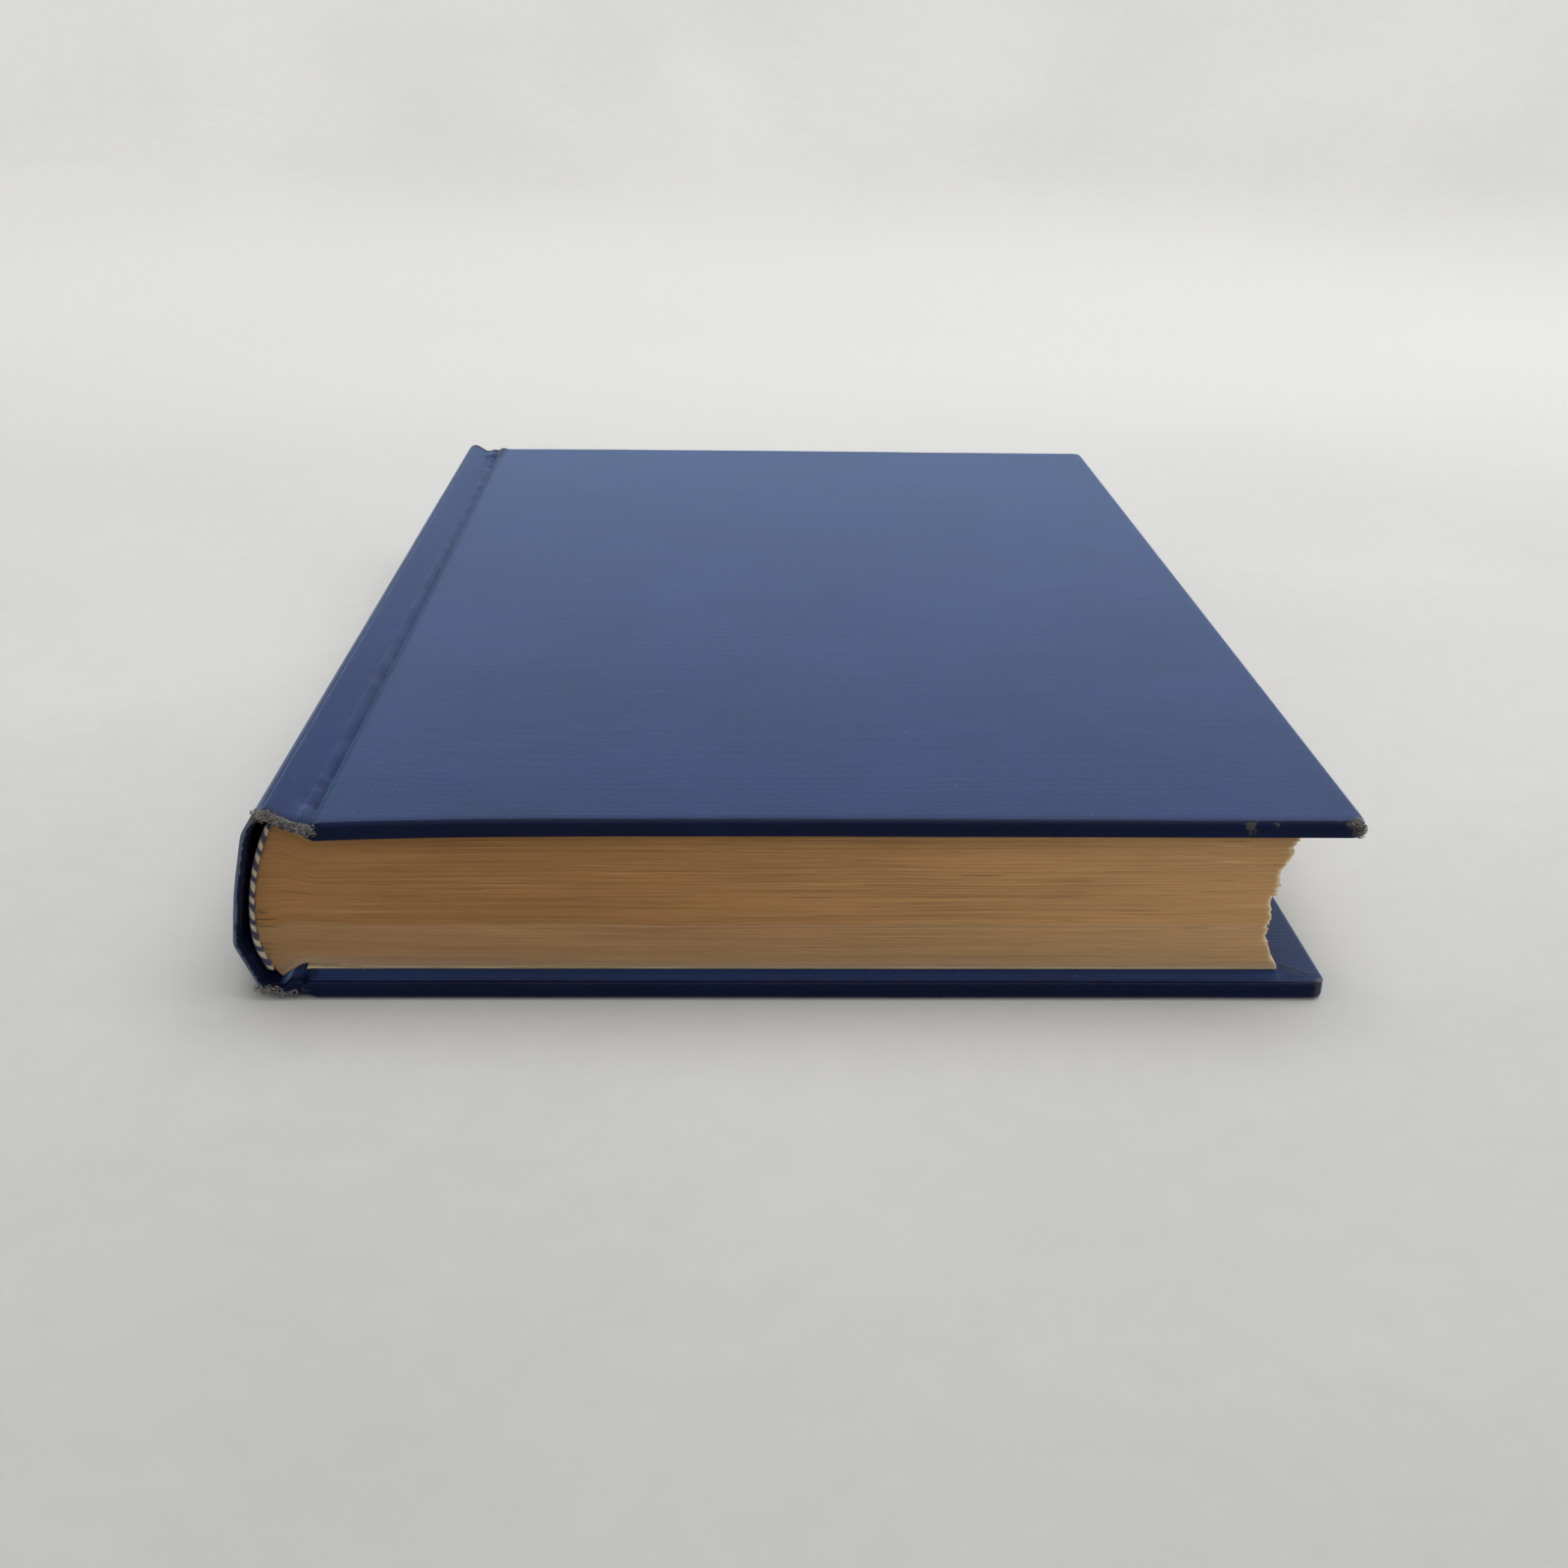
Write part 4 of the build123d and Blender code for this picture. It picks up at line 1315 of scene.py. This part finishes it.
@dataclass
class Tubes(Patch):
    """Many thin tubes in one grid: rows run through tube after tube, with no faces between two tubes."""

    steps: int = 8

    def faces(self) -> Array:
        """Quads within each tube only."""
        rows, ring = self.points.shape[:2]
        index = np.arange(rows * ring).reshape(-1, self.steps, ring)
        index = np.concatenate([index, index[:, :, :1]], axis=2)
        corners = [index[:, :-1, :-1], index[:, 1:, :-1], index[:, 1:, 1:], index[:, :-1, 1:]]
        return np.stack(corners, axis=-1).reshape(-1, 4)


def unit(vectors: Array, least: float = 0.0) -> Array:
    """Vectors brought to length 1; least keeps a zero vector from dividing by nothing."""
    return vectors / (np.linalg.norm(vectors, axis=-1)[..., None] + least)


@dataclass
class FrayedEdge:
    """Threads that have worn loose from the cloth along a short worn edge."""

    name: str
    path: Sequence[tuple[float, float, float]]
    count: int
    spread: float
    seed: int
    body: Body
    blend_to: Optional[Body] = None
    blend_span: tuple[float, float] = (0.0, 0.0)
    steps: int = 9
    radius: float = 0.062
    curl: float = 0.52

    def build(self, finishes: Finishes) -> list[bpy.types.Object]:
        """Makes the threads: each starts on the path and curls as a short helix that drifts and tightens."""
        rng = np.random.default_rng(self.seed)
        path = np.asarray(self.path, float)
        lengths = run_along(path)
        at = rng.uniform(0, lengths[-1], self.count)
        origin = np.stack([np.interp(at, lengths, path[:, i]) for i in range(3)], axis=1)
        origin += np.clip(rng.normal(0, 0.42, (self.count, 3)), -0.75, 0.75) * self.spread * (1.0, 0.7, 1.0)
        heading = unit(rng.normal(0, 1, (self.count, 3)))
        side = unit(np.cross(heading, rng.normal(0, 1, (self.count, 3))))
        over = np.cross(heading, side)
        t = np.linspace(0, 1, self.steps)
        turns = rng.uniform(0.5, 1.5, self.count)[:, None] * 2 * np.pi * t
        wide = (rng.uniform(0.3, 1.0, self.count) * self.curl)[:, None] * (1 - 0.3 * t)
        drift = (rng.uniform(0.4, 1.3, self.count) * self.curl)[:, None] * (t - 0.5)
        centre = (origin[:, None, :] + side[:, None, :] * (wide * np.cos(turns))[..., None]
                  + over[:, None, :] * (wide * np.sin(turns))[..., None]
                  + heading[:, None, :] * drift[..., None])
        along = unit(np.gradient(centre, axis=1), 1e-9)
        u = unit(np.cross(along, heading[:, None, :]), 1e-9)
        v = np.cross(along, u)
        ring = np.linspace(0, 2 * np.pi, 5, endpoint=False)
        r = self.radius * rng.uniform(0.6, 1.3, self.count)[:, None, None] * (1 - 0.75 * t**4)[None, :, None]
        points = (centre[:, :, None, :] + u[:, :, None, :] * (r * np.cos(ring))[..., None]
                  + v[:, :, None, :] * (r * np.sin(ring))[..., None])
        shade = np.broadcast_to(rng.uniform(0, 1, self.count)[:, None, None], points.shape[:3])
        tubes = Tubes(points.reshape(-1, 5, 3), None, {"shade": shade.reshape(-1, 5)}, steps=self.steps)
        piece = make_piece(self.name, [tubes])
        dress(piece, finishes.fray)
        if self.blend_to is None:
            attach(piece, self.body.value)
        else:
            start, end = (tuple(SIZES.place((x, 0, 0))) for x in self.blend_span)
            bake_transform(piece)
            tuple(start)
            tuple(end)
        return [piece]


# Stage, and the whole book


@dataclass(frozen=True)
class Lamp:
    """A square lamp aimed at the origin."""

    name: str
    at: tuple[float, float, float]
    power: float
    size: float = 1.4

    def build(self) -> None:
        """Makes the lamp."""
        data = bpy.data.lights.new(self.name, "AREA")
        data.shape, data.size, data.energy = "SQUARE", self.size, self.power
        lamp = bpy.data.objects.new(self.name, data)
        bpy.context.scene.collection.objects.link(lamp)
        lamp.location = self.at
        lamp.rotation_mode = "QUATERNION"
        lamp.rotation_quaternion = (-Vector(self.at)).to_track_quat("-Z", "Y")


@dataclass
class Stage:
    """Floor, sweep, light and the photograph's camera; the floor and its rise are in metres."""

    camera_at: tuple[float, float, float] = (-9.23, -323.8, 123.9)
    yaw: float = 1.92
    pitch: float = 23.09
    roll: float = 0.99
    lens: float = 41.65
    floor: float = 0.46
    rise_reach: float = 0.36
    rise_height: float = 0.24
    floor_z: float = -0.00025

    def build(self) -> None:
        """Makes the sweep, a broad lamp above and behind, a weak one in front, the world and the camera."""
        self.sweep()
        Lamp("top_light", (0.30, 0.16, 1.35), 19.0).build()
        Lamp("front_light", (0.1, -1.6, 1.2), 13.0).build()
        self.world()
        self.camera()

    def sweep(self) -> None:
        """A round floor that turns up all round by a quarter of an ellipse."""
        t = np.linspace(0, math.pi / 2, 20)
        flat = np.linspace(0.0, self.floor, 24)
        r = np.concatenate([flat, self.floor + self.rise_reach * np.sin(t[1:])])[:, None]
        z = np.concatenate([0 * flat, self.rise_height * (1 - np.cos(t[1:]))])[:, None] + self.floor_z
        a = np.linspace(0, 2 * np.pi, 96, endpoint=False)
        points = grid(r * np.cos(a), r * np.sin(a), z) / MM + (SIZES.middle_x, 0, 0)
        floor = make_piece("studio_sweep", [Patch(points, ring=True)], weld=0.001)
        dress(floor, Studio().make())

    def world(self) -> None:
        """An even grey world, lighter in view, and in reflections lighter near the horizon than overhead."""
        s = Shader("studio_light", "worlds")
        rise = s.value("TexCoord", out="Generated").part(2)
        mirrored = 0.42 - rise.ramp(0.20, 0.60) * 0.46
        strength = 0.40 + s.rays("Camera") * 0.31 + s.rays("Glossy", "Transmission") * mirrored
        shade = s.node("Background", Color=(1.0, 0.996, 0.985), Strength=strength)
        s.node("OutputWorld", Surface=shade.outputs[0])
        bpy.context.scene.world = s.owner

    def camera(self) -> None:
        """The camera at the place and angles measured from the photograph."""
        yaw, pitch, roll = (math.radians(a) for a in (self.yaw, self.pitch, self.roll))
        ahead = np.array([math.sin(yaw) * math.cos(pitch), math.cos(yaw) * math.cos(pitch), -math.sin(pitch)])
        right = np.array([math.cos(yaw), -math.sin(yaw), 0.0])
        up = np.cross(right, ahead)
        turned_right = right * math.cos(roll) + up * math.sin(roll)
        turned_up = -right * math.sin(roll) + up * math.cos(roll)
        data = bpy.data.cameras.new("photo_camera")
        data.sensor_width, data.lens, data.clip_start, data.clip_end = 36.0, self.lens, 0.01, 20.0
        camera = bpy.data.objects.new("photo_camera", data)
        bpy.context.scene.collection.objects.link(camera)
        axes = np.stack([turned_right, turned_up, -ahead], axis=1)
        place = Matrix.Translation([c * MM for c in self.camera_at])
        camera.matrix_world = place @ Matrix(axes.tolist()).to_4x4()
        bpy.context.scene.camera = camera


@dataclass
class Book:
    """The whole book in its building order."""

    finishes: Finishes

    def parts(self) -> Iterable[object]:
        """The sub-assemblies, one after another."""
        block = TextBlock()
        yield block
        for side in Side:
            cover = Cover(side)
            yield cover
            yield Endpapers(cover, block)
        yield Spine()
        for end in End:
            yield Endband(end)
        tail, top, fore = -SIZES.height / 2, SIZES.thickness, Cover(Side.FRONT).fore
        yield FrayedEdge("front_joint_fray",
                         ((0.3, tail + 0.5, top + 0.2), (1.4, tail + 0.3, top + 0.3),
                          (3.2, tail + 0.2, top - 0.6), (5.0, tail + 0.2, top - 1.4),
                          (6.8, tail + 0.1, top - 1.7), (7.6, tail + 0.2, top - 2.0)),
                         560, 0.66, 51, Body.BLOCK, Body.FRONT, (2.7, 6.9))
        yield FrayedEdge("heel_fray",
                         ((-1.6, tail + 0.3, 1.6), (-0.6, tail + 0.2, 1.2), (1.5, tail + 0.2, 0.9),
                          (3.4, tail + 0.3, 0.9)), 130, 0.45, 52, Body.BLOCK, Body.BACK, (0.6, 4.6))
        yield FrayedEdge("front_corner_fray",
                         ((fore - 1.6, tail + 0.4, top - 0.2), (fore - 0.5, tail + 0.5, top - 0.9),
                          (fore - 0.6, tail + 0.5, top - 2.2)), 120, 0.42, 53, Body.FRONT)

    def dress_frame(self) -> None:
        """Gives every CAD piece that stays in view the finish of its slot."""
        slots = {"spine_inlay": "card", "spine_lining": "lining_paper", "spine_mull": "gauze",
                 "front_mull_flap": "gauze", "back_mull_flap": "gauze", "back_board": "board",
                 "front_board": "board"}
        for node, slot in slots.items():
            dress(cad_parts[node], self.finishes.by_slot[slot])


def main() -> None:
    """Builds the stage and the book."""
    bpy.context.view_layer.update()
    bpy.context.scene.view_settings.view_transform = "Standard"
    Stage().build()
    book = Book(Finishes())
    book.dress_frame()
    for part in book.parts():
        for piece in part.build(book.finishes):
            log.info("%s: %d faces", piece.name, len(piece.data.polygons))


if __name__ == "__main__":
    main()
